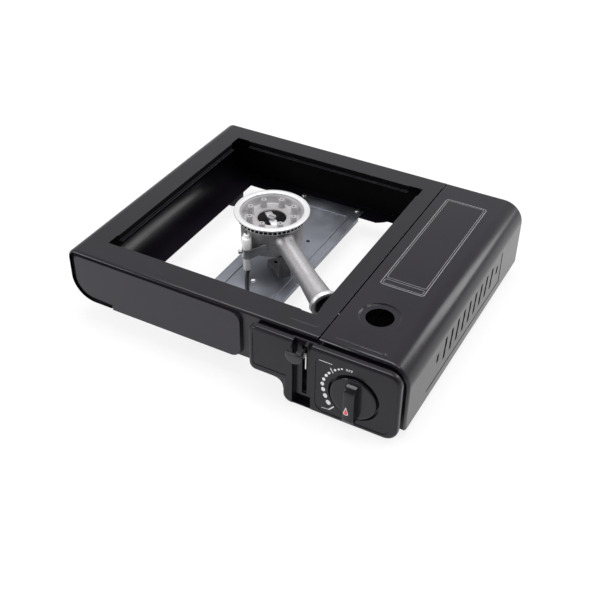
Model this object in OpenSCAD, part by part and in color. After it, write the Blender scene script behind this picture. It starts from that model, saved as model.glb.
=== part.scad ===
// Single-burner butane cassette stove, without its drip pan and pot supports.
// X to the right, Y to the rear, Z up; origin on the ground under the middle.

/* [Body] */
// Width of the stove across the body and the lid
body_w = 340; // [320:1:420]
// Depth of the sheet-metal body
body_d = 278; // [260:1:340]
// Height from the canister tray to the top sheet
body_h = 70; // [68:1:84]
// Height of the left-hand section above its bottom lip
left_h = 54; // [46:1:56]
// Height of the feet under the canister tray
foot_h = 6; // [4:1:10]
// Thickness of the sheet metal
sheet_t = 0.8; // [0.6:0.1:1.2]
// Radius of the front and rear edges of the top sheet
edge_r = 4; // [3:0.5:6]
// Height of the shoulder left above the front and rear panels
shoulder_h = 2; // [1.5:0.5:3]
// Radius of the top left edge
top_left_r = 9; // [4.5:0.5:10]
// Radius of the bottom left edge
bottom_left_r = 25; // [12:1:30]
// Width of the bottom lip of the left side
lip_w = 43.5; // [35:0.5:60]

/* [Pan opening] */
// Width of the opening
pan_w = 212.5; // [180:0.5:230]
// Depth of the opening
pan_d = 226; // [190:1:240]
// Width of the rim on the left
rim_left = 28.5; // [20:0.5:40]
// Width of the rim on the right, up to the lid
rim_right = 17.5; // [14:0.5:30]
// Depth of the ledge that carries the drip pan
ledge_z = 6; // [4:0.5:10]
// Width of the ledge
ledge_w = 3; // [2:0.5:5]
// Length left without a ledge at each corner
ledge_corner = 14; // [8:1:30]

/* [Lid] */
// Radius of the lid's outer top edge
lid_r = 21; // [12:1:24]
// Height of the lid's side above the tray's underside
lid_side_z = 4; // [3:0.5:10]
// Radius of the round hole
lid_hole_r = 12.3; // [8:0.1:16]
// Number of long vents
vent_n = 9; // [5:1:10]
// Distance between two vents
vent_pitch = 14.3; // [10:0.1:16]
// Length of a long vent
vent_l = 20; // [12:1:24]
// Width of a vent
vent_w = 2.8; // [1.5:0.1:3.8]
// Radius of the hinge rod
rod_r = 0.8; // [0.8:0.1:1]

/* [Control panel] */
// How far the panel stands in front of the body
bezel_proud = 11; // [9:1:14]
// How far the knob grip stands in front of the panel
knob_proud = 10; // [8:1:14]
// Wall of the moulding
bezel_t = 2.2; // [1.8:0.1:3]
// Radius of the knob's disc
knob_r = 21; // [18:0.1:24]
// Width of the knob's grip bar
grip_w = 11; // [9:0.5:16]
// Radius of the knob's shaft
shaft_r = 3; // [2.5:0.1:4]
// Turn of the knob from off to ignition
knob_turn = 130; // [90:5:150]
// Radius of the lever's half-round grip
lever_grip_r = 8.3; // [6:0.1:9]

/* [Burner] */
// Outer radius of the burner ring
ring_r = 36.5; // [30:0.5:42]
// Width of the burner ring seen from above
ring_w = 6; // [5:0.5:8]
// Number of flame ports under the ring
port_n = 48; // [24:2:60]
// Number of posts in the dish
post_n = 8; // [4:1:10]
// Distance of the posts' circle from the ring's bore
post_in = 8; // [6:0.5:10]
// Radius of a post
post_r = 3.4; // [2.5:0.1:4]
// Radius of the dish's centre opening
dish_hole_r = 14; // [8:0.5:16]
// Turn of the mixing tube from straight right towards the front
mix_turn = 36.8; // [32:0.1:40]
// Fall of the mixing tube
mix_fall = 7.6; // [4:0.1:10]
// Distance from the burner's axis to the mouth of the tube
mix_l = 119; // [105:1:120]
// Outer radius of the tube at the burner
mix_r = 8.7; // [7:0.1:10]
// Outer radius of the tube at its mouth
mouth_r = 11.7; // [10:0.1:13]

/* [Gas parts] */
// Radius of the space for the canister
can_r = 34; // [33:0.1:35]
// Radius of the regulator body
reg_r = 17; // [14:0.5:18]
// Turn of the lever from open to locked
lever_turn = 45; // [30:1:50]
// Distance of the pusher's pin from the lever's pivot
crank_r = 13; // [10:0.5:15]

/* [Hidden] */
$fn = 48;
eps = 0.01;
run = 0.05;          // radial running fit of pins and shafts
gap = 0.3;           // gap between bodies that move past each other

// overall planes
total_d = knob_proud + bezel_proud + body_d;
x_l = -body_w/2;
x_r = body_w/2;
y_knob = -total_d/2;
y_bezel = y_knob + knob_proud;
y_front = y_bezel + bezel_proud;
y_rear = y_front + body_d;
y_panel = y_front + edge_r + 0.2;            // outer face of the front panel
y_panel_r = y_rear - edge_r - 0.2;           // outer face of the rear panel
z_base = foot_h;
z_top = z_base + body_h;
z_left = z_top - left_h;
z_under = z_top - sheet_t;             // underside of the top sheet
z_lip = z_left + sheet_t;              // top of the left bottom lip

// seam and hinge
x_seam = x_l + rim_left + pan_w + rim_right;
hinge_drop = rod_r + 1.8;
lid_lap = 1.6;                         // lid's edge, left of the hinge axis
x_hinge = x_seam + (hinge_drop + 0.35 + lid_lap)/2;
x_edge = x_hinge - hinge_drop - 0.35;  // right edge of the body's top sheet
z_hinge = z_top - hinge_drop;
curl_r = rod_r + run + sheet_t;
hinge_clear_r = norm([lid_lap, hinge_drop]) + gap;
knuckle_r = hinge_drop - sheet_t - gap;
knuckle_l = 10;
y_knuckle_f = y_panel + 6;
y_knuckle_r = y_panel_r - 6 - knuckle_l;

// pan opening
x_pan = x_l + rim_left;
fore_share = 0.52;                     // part of the two rims' depth that lies in front
pan_front = (body_d - pan_d)*fore_share;
y_pan = y_front + pan_front;

// compartment
x_shield = x_seam - 14;                // left face of the heat shield
x_can = x_seam + 31.5;
z_floor = z_base + sheet_t;
z_can = z_floor + sheet_t + 0.05 + gap + can_r;
x_tray_r = x_r - sheet_t - 1.2;        // outer face of the tray's right wall
tray_wall_h = 22;
y_can_f = y_panel + 45;                // front of the canister
can_l = 184;

// panel outline
x_step = x_l + 229;                    // where the panel steps down

// dial and lever
x_dial = x_l + 296.9;
z_dial = z_base + 30;
x_slot = x_shield + 4.7;               // middle of the lever's slot
slot_w = 4.6;
arm_t = 2;
z_pivot = z_base + 36;
y_pivot = y_panel + 29;
pivot_r = 3;
crank_pin_r = 2;
y_crank = y_pivot + crank_r*sin(lever_turn/2);
z_crank = z_pivot + crank_r*cos(lever_turn/2);
carriage_travel = 2*crank_r*sin(lever_turn/2);
x_carriage = x_slot + arm_t/2 + 1;
carriage_t = 1.2;
z_carriage = z_crank - 2.6;
x_left_bezel = x_l + 197.5;
x_right_bezel = x_r - 3;
z_bezel_top = z_base + 68.2;
z_bezel_left = z_base + 20;
z_bezel_low = z_base - 2.4;
z_lever_grip = z_base + 59;
y_lever_grip = y_bezel - 4;
bezel_deep = 5.8;                      // depth of the panel's outer wall
bezel_soft = 3.2;                      // rounding of the panel's front edges
knob_gap = 2.2;                        // ring seen round the knob's disc
disc_proud = 1.6;
bezel_inset = 4;
bezel_corner = [7, 8, 12];             // its left, lower middle and right corners
channel_l = 9.2;                       // lever channel, left and right of the slot's middle
channel_r = 8.4;
plate_sink = 0.5;                      // depth of the two plates sunk in its face
channel_deep = 5;
pocket_deep = 4.5;
disc_t = 4;
y_cam = y_panel + 4;
cam_t = 4;
cam_r = 12;
piezo_r = 4.5;
y_piezo = y_cam + cam_t/2;
x_plunger = x_dial - cam_r - gap;
plunger_stroke = 4;
y_reg_f = y_panel + 12;
y_reg_r = y_panel + 31;

// burner
x_burn = x_l + 134.5;
y_burn = y_front + 140;
z_ring = z_top + 6;
z_mix = z_base + 61;
z_cup = z_base + 41;
ring_bore_r = ring_r - ring_w;
cup_r = ring_bore_r - 0.5;
cup_t = 3;
cup_h = z_base + 68 - z_cup;
post_circle_r = ring_bore_r - post_in;
mix_flare = 85;                        // where the tube starts to widen to its mouth
mix_flare_r = mix_r + 0.9;
mouth_flange = 4.5;
tube_t = 2.2;                          // wall of the mixing tube
jet_at = mix_l + 3;                     // tip of the jet on the tube's axis
jet_cone = 4;
nut_at = mix_l + 12.5;                 // hexagon where the jet ends and the gas pipe starts
nut_t = 4.5;
pipe_r = 4;
pipe_bore_r = 2.2;
pipe_turn = 7;
pipe_fall = 1;
pipe_l = 46;
z_dish = z_base + 65;
z_bar = z_lip + sheet_t;               // top of the crossbar
bar_x0 = x_burn - 32.5;
bar_x1 = x_burn + 41;
x_el = x_burn - 7.5;
y_el = y_burn - 34.9;
z_el = z_base + 36.5;                  // base of the electrode's heights
band_z = 3.6;                          // the clip's band above that
band_h = 10.2;
insul_r = 4;
wire_r = 0.8;                          // electrode wire
foot_r = 10;
cable_r = 1.8;
// route of the ignition wire from the electrode to the igniter
cable_points = [[-43, -21.5, 29], [-42, -25, 28], [-38, -33, 27], [-29, -47, 27],
                [-18, -62, 27], [-6, -78, 27], [10, -92, 27], [28, -99, 27],
                [46, -103, 26], [62, -107, 26], [72, -109, 26], [79, -111, 26],
                [83, -113, 27], [85, -116, 30], [85.5, -118, 33.5],
                [86.6, -118.4, 35.6], [88.1, -118.5, 36]];

// ---------- shared shapes ----------
module rounded(w, h, r) {
    translate([r, 0]) square([w - 2*r, h]);
    translate([0, r]) square([w, h - 2*r]);
    for (x = [r, w - r], y = [r, h - r]) translate([x, y]) circle(r);
}
// outline in the XZ plane, standing from y0 to y1
module standing(y0, y1) {
    translate([0, y1, 0]) rotate([90, 0, 0]) linear_extrude(y1 - y0) children();
}
// how far the full rounding would reach in front of the cut-off shoulder
skin_over = edge_r - sqrt(edge_r*edge_r - pow(edge_r - shoulder_h, 2));
// section across the skin: x is outward, y runs from front to rear
module skin_solid(off, deep) {
    r = edge_r - off;
    y0 = y_front - skin_over + off;
    y1 = y_rear + skin_over - off;
    translate([-deep, y0 + r]) square([deep - off, y1 - y0 - 2*r]);
    translate([-deep, y0]) square([deep - edge_r, y1 - y0]);
    for (y = [y0 + r, y1 - r]) translate([-edge_r, y]) circle(r);
}
module skin_section() {
    difference() {
        skin_solid(0, edge_r + 1);
        skin_solid(sheet_t, edge_r + 2);
        translate([-3*edge_r, y_front - 1]) square([3*edge_r - shoulder_h, body_d + 2]);
    }
}
module skin_arc(r, from) {
    rotate([-90, 0, 0]) rotate([0, 0, from])
        rotate_extrude(angle = 90) translate([r, 0]) skin_section();
}
module y_cyl(r, y0, y1) {
    translate([0, y1, 0]) rotate([90, 0, 0]) cylinder(r = r, h = y1 - y0);
}
module x_cyl(r, x0, x1) {
    translate([x0, 0, 0]) rotate([0, 90, 0]) cylinder(r = r, h = x1 - x0);
}
module slab(x0, x1, y0, y1, z0, z1) {
    translate([x0, y0, z0]) cube([x1 - x0, y1 - y0, z1 - z0]);
}

// ---------- body shell ----------
module pan_ledges() {
    z0 = z_top - ledge_z;
    z_mid = z_under + sheet_t/2;
    y0 = y_pan + ledge_corner;
    y1 = y_pan + pan_d - ledge_corner;
    x0 = x_pan + ledge_corner;
    x1 = x_pan + pan_w - ledge_corner;
    // left and right
    slab(x_pan - sheet_t, x_pan, y0, y1, z0, z_mid);
    slab(x_pan - sheet_t, x_pan + ledge_w, y0, y1, z0 - sheet_t, z0);
    slab(x_pan + pan_w, x_pan + pan_w + sheet_t, y0, y1, z0, z_mid);
    slab(x_pan + pan_w - ledge_w, x_pan + pan_w + sheet_t, y0, y1, z0 - sheet_t, z0);
    // front and rear
    slab(x0, x1, y_pan - sheet_t, y_pan, z0, z_mid);
    slab(x0, x1, y_pan - sheet_t, y_pan + ledge_w, z0 - sheet_t, z0);
    slab(x0, x1, y_pan + pan_d, y_pan + pan_d + sheet_t, z0, z_mid);
    slab(x0, x1, y_pan + pan_d - ledge_w, y_pan + pan_d + sheet_t, z0 - sheet_t, z0);
}
module body_shell() color("#3b3a3e") {
    difference() {
        union() {
            translate([x_hinge, 0, z_top]) rotate([0, -90, 0])
                linear_extrude(x_hinge - x_l - top_left_r) skin_section();
            translate([x_l + top_left_r, 0, z_top - top_left_r]) skin_arc(top_left_r, -180);
            translate([x_l, 0, z_top - top_left_r]) rotate([0, 180, 0])
                linear_extrude(left_h - top_left_r - bottom_left_r) skin_section();
            translate([x_l + bottom_left_r, 0, z_left + bottom_left_r])
                skin_arc(bottom_left_r, 90);
            translate([x_l + bottom_left_r, 0, z_left]) rotate([0, 90, 0])
                linear_extrude(lip_w - bottom_left_r) skin_section();
        }
        // pan opening, a little larger where the corners have no ledge
        slab(x_pan, x_pan + pan_w, y_pan, y_pan + pan_d, z_under - 1, z_top + 1);
        for (x = [x_pan - 1, x_pan + pan_w - ledge_corner + 1])
            for (y = [y_pan - 1, y_pan + pan_d - ledge_corner + 1])
                slab(x, x + ledge_corner, y, y + ledge_corner, z_under - 1, z_top + 1);
        translate([x_hinge, 0, z_hinge]) y_cyl(hinge_clear_r, y_front - 1, y_rear + 1);
        slab(x_edge, x_hinge + 5, y_front - 1, y_rear + 1, z_hinge - 5, z_top + 1);
    }
    pan_ledges();
}

// ---------- front and rear panels ----------
// outline in XZ: full width, stepping down to the tray on the right
module panel_outline(top, side_l, side_r, low) {
    difference() {
        union() {
            translate([side_l, z_left]) square([x_edge - side_l, top - z_left]);
            translate([x_edge - 1, z_left]) square([side_r - x_edge + 1, top - gap - z_left]);
            translate([x_step, low]) square([side_r - x_step, z_left - low + eps]);
        }
        // the left bottom corner follows the shell
        difference() {
            translate([side_l - 1, z_left - 1])
                square([bottom_left_r + x_l - side_l + 1, bottom_left_r + 1]);
            translate([x_l + bottom_left_r, z_left + bottom_left_r]) circle(bottom_left_r - sheet_t);
        }
        translate([side_l - 1, z_left - 1]) square([x_l + lip_w - side_l + 1, 1 + sheet_t]);
        difference() {
            translate([side_l - 1, top - top_left_r]) square([top_left_r + 1, top_left_r + 1]);
            translate([x_l + top_left_r, z_top - top_left_r]) circle(top_left_r - sheet_t - run);
            translate([x_l + top_left_r, top - top_left_r - 1]) square(top_left_r + 3);
        }
        translate([x_hinge, z_hinge]) circle(hinge_clear_r);
        difference() {
            translate([x_r - lid_r, top - lid_r - 1]) square([lid_r + 1, lid_r + 2]);
            translate([x_r - lid_r, z_top - lid_r]) circle(lid_r - sheet_t - 1.2);
            translate([x_r - lid_r, low]) square([side_r - x_r + lid_r, z_top - lid_r - low]);
        }
    }
}
pad_r = 10;                            // corners of the raised pad on the right
pad_l = 184;                           // right end of the pad from the left side
module pad_outline(d) {
    x0 = x_l + pad_r/2 + d;
    x1 = x_l + pad_l - d;
    z0 = z_left;
    z1 = z_top - 4 - d;
    hull() {
        translate([x_l + bottom_left_r, z0 + bottom_left_r]) circle(bottom_left_r - pad_r/2 - d);
        translate([x0 + pad_r/2, z1 - pad_r/2]) circle(pad_r/2);
        translate([x1 - pad_r, z1 - pad_r]) circle(pad_r);
        translate([x1 - pad_r, z0 + pad_r]) circle(pad_r);
    }
}
module pad_form(d, y0, y1) {
    hull() {
        standing(y1 - eps, y1) pad_outline(d);
        standing(y0, y0 + eps) pad_outline(d + 1.5);
    }
}
module front_panel() color("#46454a") {
    y1 = y_panel + sheet_t;
    y_pad = y_front + 0.6;
    x_skirt = x_l + lip_w + 1.5;
    difference() {
        union() {
            standing(y_panel, y1)
                panel_outline(z_under, x_l + sheet_t, x_tray_r - sheet_t - gap, z_base + sheet_t);
            pad_form(0, y_pad, y_panel);
            slab(x_skirt, x_l + pad_l - pad_r, y_pad, y_pad + sheet_t, z_left, z_left + pad_r - 1);
            slab(x_skirt, x_l + pad_l - pad_r, y_pad, y_panel + 1, z_left, z_lip);
        }
        pad_form(sheet_t, y_pad + sheet_t, y1 + eps);
        // lever slot, dial opening and screw holes
        slab(x_slot - slot_w/2 - 1, x_slot + slot_w/2 + 1, y_panel - 1, y1 + 1,
             z_base + 8, z_base + 66);
        translate([x_dial, 0, z_dial]) y_cyl(8, y_panel - 1, y1 + 1);
        for (p = bezel_screws) translate([p[0], 0, p[1]]) y_cyl(1.3, y_panel - 1, y1 + 1);
    }
    // bottom flange of the left section
    slab(x_skirt, x_step - 1, y1 - 0.1, y_panel + flange_w, z_left, z_lip);
}
rear_vent_n = 6;
rear_vent_pitch = 25;
rear_vent_l = 16;
rear_vent_h = 3.6;
flange_w = 22;                         // bottom flanges, measured from the panels' outer faces
module rear_panel() color("#242326") {
    y0 = y_panel_r - sheet_t;
    difference() {
        standing(y0, y_panel_r)
            panel_outline(z_under, x_l + sheet_t, x_tray_r - sheet_t - gap, z_base + sheet_t);
        // row of vents behind the burner
        for (i = [0:rear_vent_n - 1])
            translate([x_burn + (i - rear_vent_n/2 + 0.5)*rear_vent_pitch, 0, z_left + 34])
                standing(y0 - 1, y_panel_r + 1) rounded(rear_vent_l, rear_vent_h, rear_vent_h*0.4);
    }
    // bottom flange, with its inner edge curving back on the right
    difference() {
        slab(x_l + lip_w, x_step - 1, y_panel_r - flange_w, y0, z_left, z_lip);
        translate([x_l + 225, y_panel_r - 27, z_left - 1]) difference() {
            translate([-30, 0, 0]) cube([40, 13, sheet_t + 2]);
            translate([-50, 40, -1]) cylinder(r = 40, h = sheet_t + 4);
        }
    }
}
bezel_screws = [[x_left_bezel + 6, z_bezel_left + 8], [x_left_bezel + 6, z_base + 58],
                [x_right_bezel - 8, z_base + 8], [x_right_bezel - 12, z_base + 56]];

// ---------- lid ----------
module lid() color("#3d3c40") {
    xa = x_hinge - lid_lap;
    ya = y_knuckle_f + knuckle_l + gap;
    yb = y_knuckle_r - gap;
    y_hole = y_front + lid_hole_y;
    difference() {
        union() {
            translate([x_r - lid_r, 0, z_top]) rotate([0, -90, 0])
                linear_extrude(x_r - lid_r - xa) skin_section();
            translate([x_r - lid_r, 0, z_top - lid_r]) skin_arc(lid_r, -90);
            translate([x_r, 0, z_base + lid_side_z])
                linear_extrude(z_top - lid_r - z_base - lid_side_z) skin_section();
            // edge rolled round the hinge rod
            translate([x_hinge, 0, z_hinge]) y_cyl(curl_r, ya, yb);
            slab(xa, x_hinge + 0.8, ya, yb, z_hinge + curl_r - 0.7, z_under + sheet_t/2);
        }
        translate([x_hinge, 0, z_hinge]) y_cyl(rod_r + run, ya - 1, yb + 1);
        translate([x_can, y_hole, z_under - 1]) cylinder(r = lid_hole_r + hole_ring - 0.1, h = 3);
        // shallow field pressed in the side
        slab(x_r - field_t, x_r + 1, y_front + field_y, y_front + field_y + field_l, z_base + 13,
             z_top - lid_r - 2);
        // spot marks left on the top by the presses
        for (p = spot_marks) translate([p[0], p[1], z_top + 1.7]) sphere(r = 2);
        // vents in the side
        for (i = [0:vent_n - 1])
            vent(y_front + vent_y + i*vent_pitch, z_base + 33.8, vent_l);
        vent(y_front + vent_y - 1.2*vent_pitch, z_base + 35, vent_l/3);
        vent(y_front + vent_y + (vent_n + 0.05)*vent_pitch, z_base + 34, vent_l/3);
    }
    // bead along the front edge and the stop at its end
    intersection() {
        union() {
            translate([0, y_front + bead_y, z_top - 1])
                x_cyl(bead_r, x_seam + 11.5, x_r - lid_r - 7);
            translate([x_r - lid_r - 5, y_front + bead_y + 1, z_top - 2.2]) sphere(r = 2*bead_r);
        }
        slab(xa, x_r, y_front, y_rear, z_under + sheet_t/2, z_top + 1);
    }
    // sunk ring round the hole
    translate([x_can, y_hole, z_top]) rotate_extrude() polygon([
        [lid_hole_r, -hole_sink], [lid_hole_r + hole_ring - 1.7, -hole_sink],
        [lid_hole_r + hole_ring, 0], [lid_hole_r + hole_ring, -sheet_t],
        [lid_hole_r + hole_ring - 1.4, -hole_sink - sheet_t], [lid_hole_r, -hole_sink - sheet_t]]);
}
lid_hole_y = 50;                       // middle of the round hole from the front
hole_ring = 6.3;                       // width of the sunk ring round it
hole_sink = 1.2;
vent_y = 80.6;                         // first long vent from the front
bead_y = 7.5;
bead_r = 1.4;
field_t = 0.3;                         // the side's pressed field
field_y = 42;
field_l = 180;
spot_marks = [[x_seam + 11.5, y_rear - 21], [x_seam + 27.5, y_rear - 21], [x_r - 16, y_rear - 38]];
// a long slot with a bend in its middle: [towards the rear, up], in parts of its length
vent_line = [[-0.10, -0.5], [-0.06, -0.36], [-0.045, -0.08], [0.03, 0.1], [0.045, 0.36], [0.07, 0.5]];
module vent(y, z, l) {
    n = len(vent_line) - 1;
    translate([x_r - sheet_t - 1, y, z]) rotate([90, 0, 90]) linear_extrude(sheet_t + 2)
        polygon([for (p = vent_line) [p[0]*l - vent_w/2, p[1]*l],
                 for (i = [n:-1:0]) [vent_line[i][0]*l + vent_w/2, vent_line[i][1]*l]]);
}
module hinge_rod() color("#8d8d90")
    translate([x_hinge, 0, z_hinge])
        y_cyl(rod_r, y_knuckle_f - 1.5, y_knuckle_r + knuckle_l + 1.5);

// ---------- heat shield with the hinge knuckles ----------
module heat_shield() color("#9a9b9d") {
    y0 = y_panel + sheet_t;
    y1 = y_panel_r - sheet_t;
    zt = z_under - 8;
    difference() {
        union() {
            slab(x_shield, x_shield + sheet_t, y0, y1, z_floor, z_under);
            slab(x_shield, x_hinge - hinge_clear_r - gap, y0, y1, z_under - sheet_t, z_under);
            slab(x_shield, x_shield + 12, y0 + 30, y1, z_floor, z_floor + sheet_t);
            for (y = [y_knuckle_f, y_knuckle_r]) {
                slab(x_shield, x_hinge + 0.4, y, y + knuckle_l, zt, zt + sheet_t);
                slab(x_hinge - 0.4, x_hinge + 0.4, y, y + knuckle_l, zt, z_hinge);
                translate([x_hinge, 0, z_hinge]) y_cyl(knuckle_r, y, y + knuckle_l);
            }
            // guide rivets of the carriage
            for (y = guide_ys) translate([0, y, z_crank])
                x_cyl(2.5, x_shield, x_carriage + carriage_t + gap);
            for (y = guide_ys) translate([0, y, z_crank])
                x_cyl(4, x_carriage + carriage_t + gap, x_carriage + carriage_t + gap + 0.8);
        }
        translate([x_hinge, 0, z_hinge]) y_cyl(rod_r + run, y0, y1);
        on_pipe_axis() x_cyl(pipe_r + 3, -5, 18);
        // hole for the ignition wire, vents above the burner's air
        translate([0, -110, 26]) x_cyl(4.5, x_shield - 1, x_shield + sheet_t + 1);
        translate([0, y_pivot, z_pivot]) x_cyl(pivot_r + run, x_shield - 1, x_shield + sheet_t + 1);
    }
}
guide_ys = [y_panel + 90, y_panel_r - 70];

// ---------- control panel ----------
// outline of the moulding, set in by d
module bezel_outline(d) {
    x0 = x_left_bezel + d;
    x1 = x_step + 1.5 + d;
    x2 = x_right_bezel - d;
    z0 = z_bezel_low + d;
    z1 = z_bezel_left + d;
    z2 = z_bezel_top - d;
    rl = bezel_corner[0] - 1;
    rs = bezel_corner[1];
    rr = bezel_corner[2];
    difference() {
        union() {
            translate([x0 + rl, z1]) square([x2 - x0 - rl, z2 - z1]);
            translate([x0, z1 + rl]) square([x2 - x0, z2 - z1 - rl]);
            translate([x0 + rl, z1 + rl]) circle(rl);
            translate([x1 + rs, z0]) square([x2 - x1 - rs - rr, z1 - z0 + 1]);
            translate([x1, z0 + rs]) square([x2 - x1, z1 - z0 - rs + 1]);
            translate([x1 + rs, z0 + rs]) circle(rs);
            translate([x2 - rr, z0 + rr]) circle(rr);
            translate([x1 - rs - d, z1 - rs - d]) difference() {
                square(rs + d + eps);
                circle(rs + d);
            }
        }
        translate([x2 - rr, z2 - rr]) difference() {
            square(rr + 1);
            circle(rr);
        }
        translate([x2 - rr, z0 - 1]) difference() {
            square(rr + 1);
            translate([0, rr + 1]) circle(rr);
        }
    }
}
// disc of radius r and depth t behind y = 0, its front edge rounded by e
module puck(r, e, t) {
    rotate([-90, 0, 0]) rotate_extrude() {
        translate([0, e]) square([r, t - e]);
        square([r - e, t]);
        translate([r - e, e]) circle(e, $fn = 24);
    }
}
// plate with rounded corners and soft front edges; rl and rr are its left and right corners
module soft_plate(x0, x1, z0, z1, rl, rr) {
    hull() {
        for (z = [z0 + rl, z1 - rl]) translate([x0 + rl, y_bezel, z]) puck(rl, bezel_soft, bezel_deep);
        for (z = [z0 + rr, z1 - rr]) translate([x1 - rr, y_bezel, z]) puck(rr, bezel_soft, bezel_deep);
    }
}
module control_panel() color("#2b2a2d") {
    y1 = y_bezel + bezel_deep;
    xc0 = x_slot - channel_l;
    xc1 = x_slot + channel_r;
    x1 = x_step + 1.5;
    pocket_r = knob_r + knob_gap;
    difference() {
        union() {
            difference() {
                union() {
                    soft_plate(x_left_bezel, x_right_bezel, z_bezel_left, z_bezel_top,
                               bezel_corner[0], bezel_corner[2]);
                    soft_plate(x1, x_right_bezel, z_bezel_low, z_bezel_top,
                               bezel_corner[1], bezel_corner[2]);
                    // the sweep between the two lower edges
                    standing(y_bezel + bezel_soft/2, y1) intersection() {
                        bezel_outline(0);
                        translate([x1 - 9, z_bezel_left - 9]) square([18, 18]);
                    }
                    standing(y1 - eps, y_panel) bezel_outline(bezel_inset);
                }
                standing(y_bezel + bezel_t, y1 - bezel_t) bezel_outline(bezel_t);
                standing(y_bezel + bezel_t, y_panel + 1) bezel_outline(bezel_inset + bezel_t);
            }
            // lever channel and knob pocket
            slab(xc0 - bezel_t, xc1 + bezel_t, y_bezel + bezel_soft, y_bezel + channel_deep + bezel_t,
                 z_bezel_low + 1, z_bezel_top - 0.5);
            translate([x_dial, 0, z_dial])
                y_cyl(pocket_r + bezel_t, y_bezel + 1, y_bezel + pocket_deep + bezel_t);
            for (p = bezel_screws) translate([p[0], 0, p[1]]) y_cyl(3.5, y_bezel + 1, y_panel);
        }
        slab(xc0, xc1, y_bezel - 1, y_bezel + channel_deep, z_bezel_low - 1, z_bezel_top + 1);
        slab(x_slot - slot_w/2, x_slot + slot_w/2, y_bezel, y_panel + 1, z_base + 10, z_base + 62);
        // the channel's floor ends above the lower edge
        slab(xc0, xc1, y_bezel, y_panel + 1, z_bezel_low - 1, z_base + 7.5);
        translate([x_dial, 0, z_dial]) {
            y_cyl(pocket_r, y_bezel - 1, y_bezel + pocket_deep);
            y_cyl(shaft_r + 1, y_bezel, y_panel + 1);
        }
        for (p = bezel_screws) translate([p[0], 0, p[1]]) y_cyl(1.2, y_bezel + 4, y_panel + 1);
        // sunk plates
        translate([x_left_bezel + 4.5, 0, z_base + 27]) standing(y_bezel - 1, y_bezel + plate_sink)
            rounded(33, 35, 2);
        translate([xc1 + 4, 0, z_base + 2]) standing(y_bezel - 1, y_bezel + plate_sink)
            rounded(x_right_bezel - 6 - xc1 - 4, 61.5, bezel_corner[2] - 3);
    }
}

// ---------- knob and shaft ----------
module knob() color("#2b2a2d") {
    difference() {
        union() {
            translate([x_dial, 0, z_dial]) y_cyl(knob_r, y_bezel - disc_proud, y_bezel + disc_t);
            intersection() {
                translate([x_dial, 0, z_dial]) y_cyl(knob_r, y_knob - 1, y_bezel + 1);
                translate([x_dial - grip_w/2, 0, z_dial]) rotate([90, 0, 90])
                    linear_extrude(grip_w) polygon([
                        [y_knob, -knob_r - 1], [y_knob, 10], [y_knob + 0.8, 11.2],
                        [y_knob + 5.4, 12.2], [y_knob + 6.2, 12.8], [y_knob + 5.2, 14.6],
                        [y_knob + 5, 16.4], [y_knob + 5.8, 18.2], [y_knob + 7.4, knob_r - 1.4],
                        [y_bezel + 0.5, knob_r - 1], [y_bezel + 0.5, -knob_r - 1]]);
            }
        }
        translate([x_dial, 0, z_dial]) y_cyl(shaft_r + run, y_bezel - 5, y_bezel + disc_t + 1);
    }
}
module knob_shaft() color("#b9babd") {
    translate([x_dial, 0, z_dial]) {
        y_cyl(shaft_r, y_bezel - 4.9, y_reg_f + 8);
        // cam, whose lobe strikes the igniter at the end of the turn
        standing(y_cam, y_cam + cam_t) rotate(180 - knob_turn) {
            circle(6);
            translate([0, -2.4]) square([cam_r - 2.5, 4.8]);
            translate([cam_r - 2.5, 0]) circle(2.5);
        }
    }
}

// ---------- lever ----------
lever_up = atan2(z_lever_grip - z_pivot, y_pivot - y_lever_grip);
lever_l = norm([z_lever_grip - z_pivot, y_pivot - y_lever_grip]);
module lever_arm() color("#b0b1b4") {
    translate([x_slot - arm_t/2, 0, 0]) rotate([90, 0, 90]) linear_extrude(arm_t) difference() {
        union() {
            translate([y_pivot, z_pivot]) circle(8);
            translate([y_pivot, z_pivot]) rotate(180 - lever_up)
                translate([0, -4]) square([lever_l - 1, 8]);
            translate([y_crank, z_crank]) circle(4.5);
            translate([y_pivot, z_pivot]) rotate(90 - lever_turn/2)
                translate([0, -4.5]) square([crank_r, 9]);
        }
        translate([y_pivot, z_pivot]) circle(pivot_r + run);
    }
    translate([0, y_crank, z_crank])
        x_cyl(crank_pin_r, x_slot + arm_t/2 - eps, x_carriage + carriage_t + 1);
}
module lever_grip() color("#2b2a2d") {
    difference() {
        translate([x_slot - 4.7, 0, z_lever_grip + 4]) standing(y_lever_grip - 3, y_lever_grip + 2)
            difference() {
                circle(lever_grip_r);
                translate([-20, 0]) square([40, 20]);
            }
        slab(x_slot - arm_t/2, x_slot + arm_t/2, y_lever_grip - 1.2, y_lever_grip + 3,
             z_lever_grip - 20, z_lever_grip + 20);
    }
}
module lever_pivot_pin() color("#8d8d90") {
    translate([0, y_pivot, z_pivot]) {
        x_cyl(pivot_r, x_shield - 1, x_slot + arm_t/2 + 0.5);
        x_cyl(pivot_r + 2, x_shield - 2, x_shield);
        x_cyl(pivot_r + 1.5, x_shield + sheet_t, x_slot - arm_t/2 - 0.2);
        x_cyl(pivot_r + 1.5, x_slot + arm_t/2 + 0.2, x_slot + arm_t/2 + 0.8);
    }
}
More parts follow.
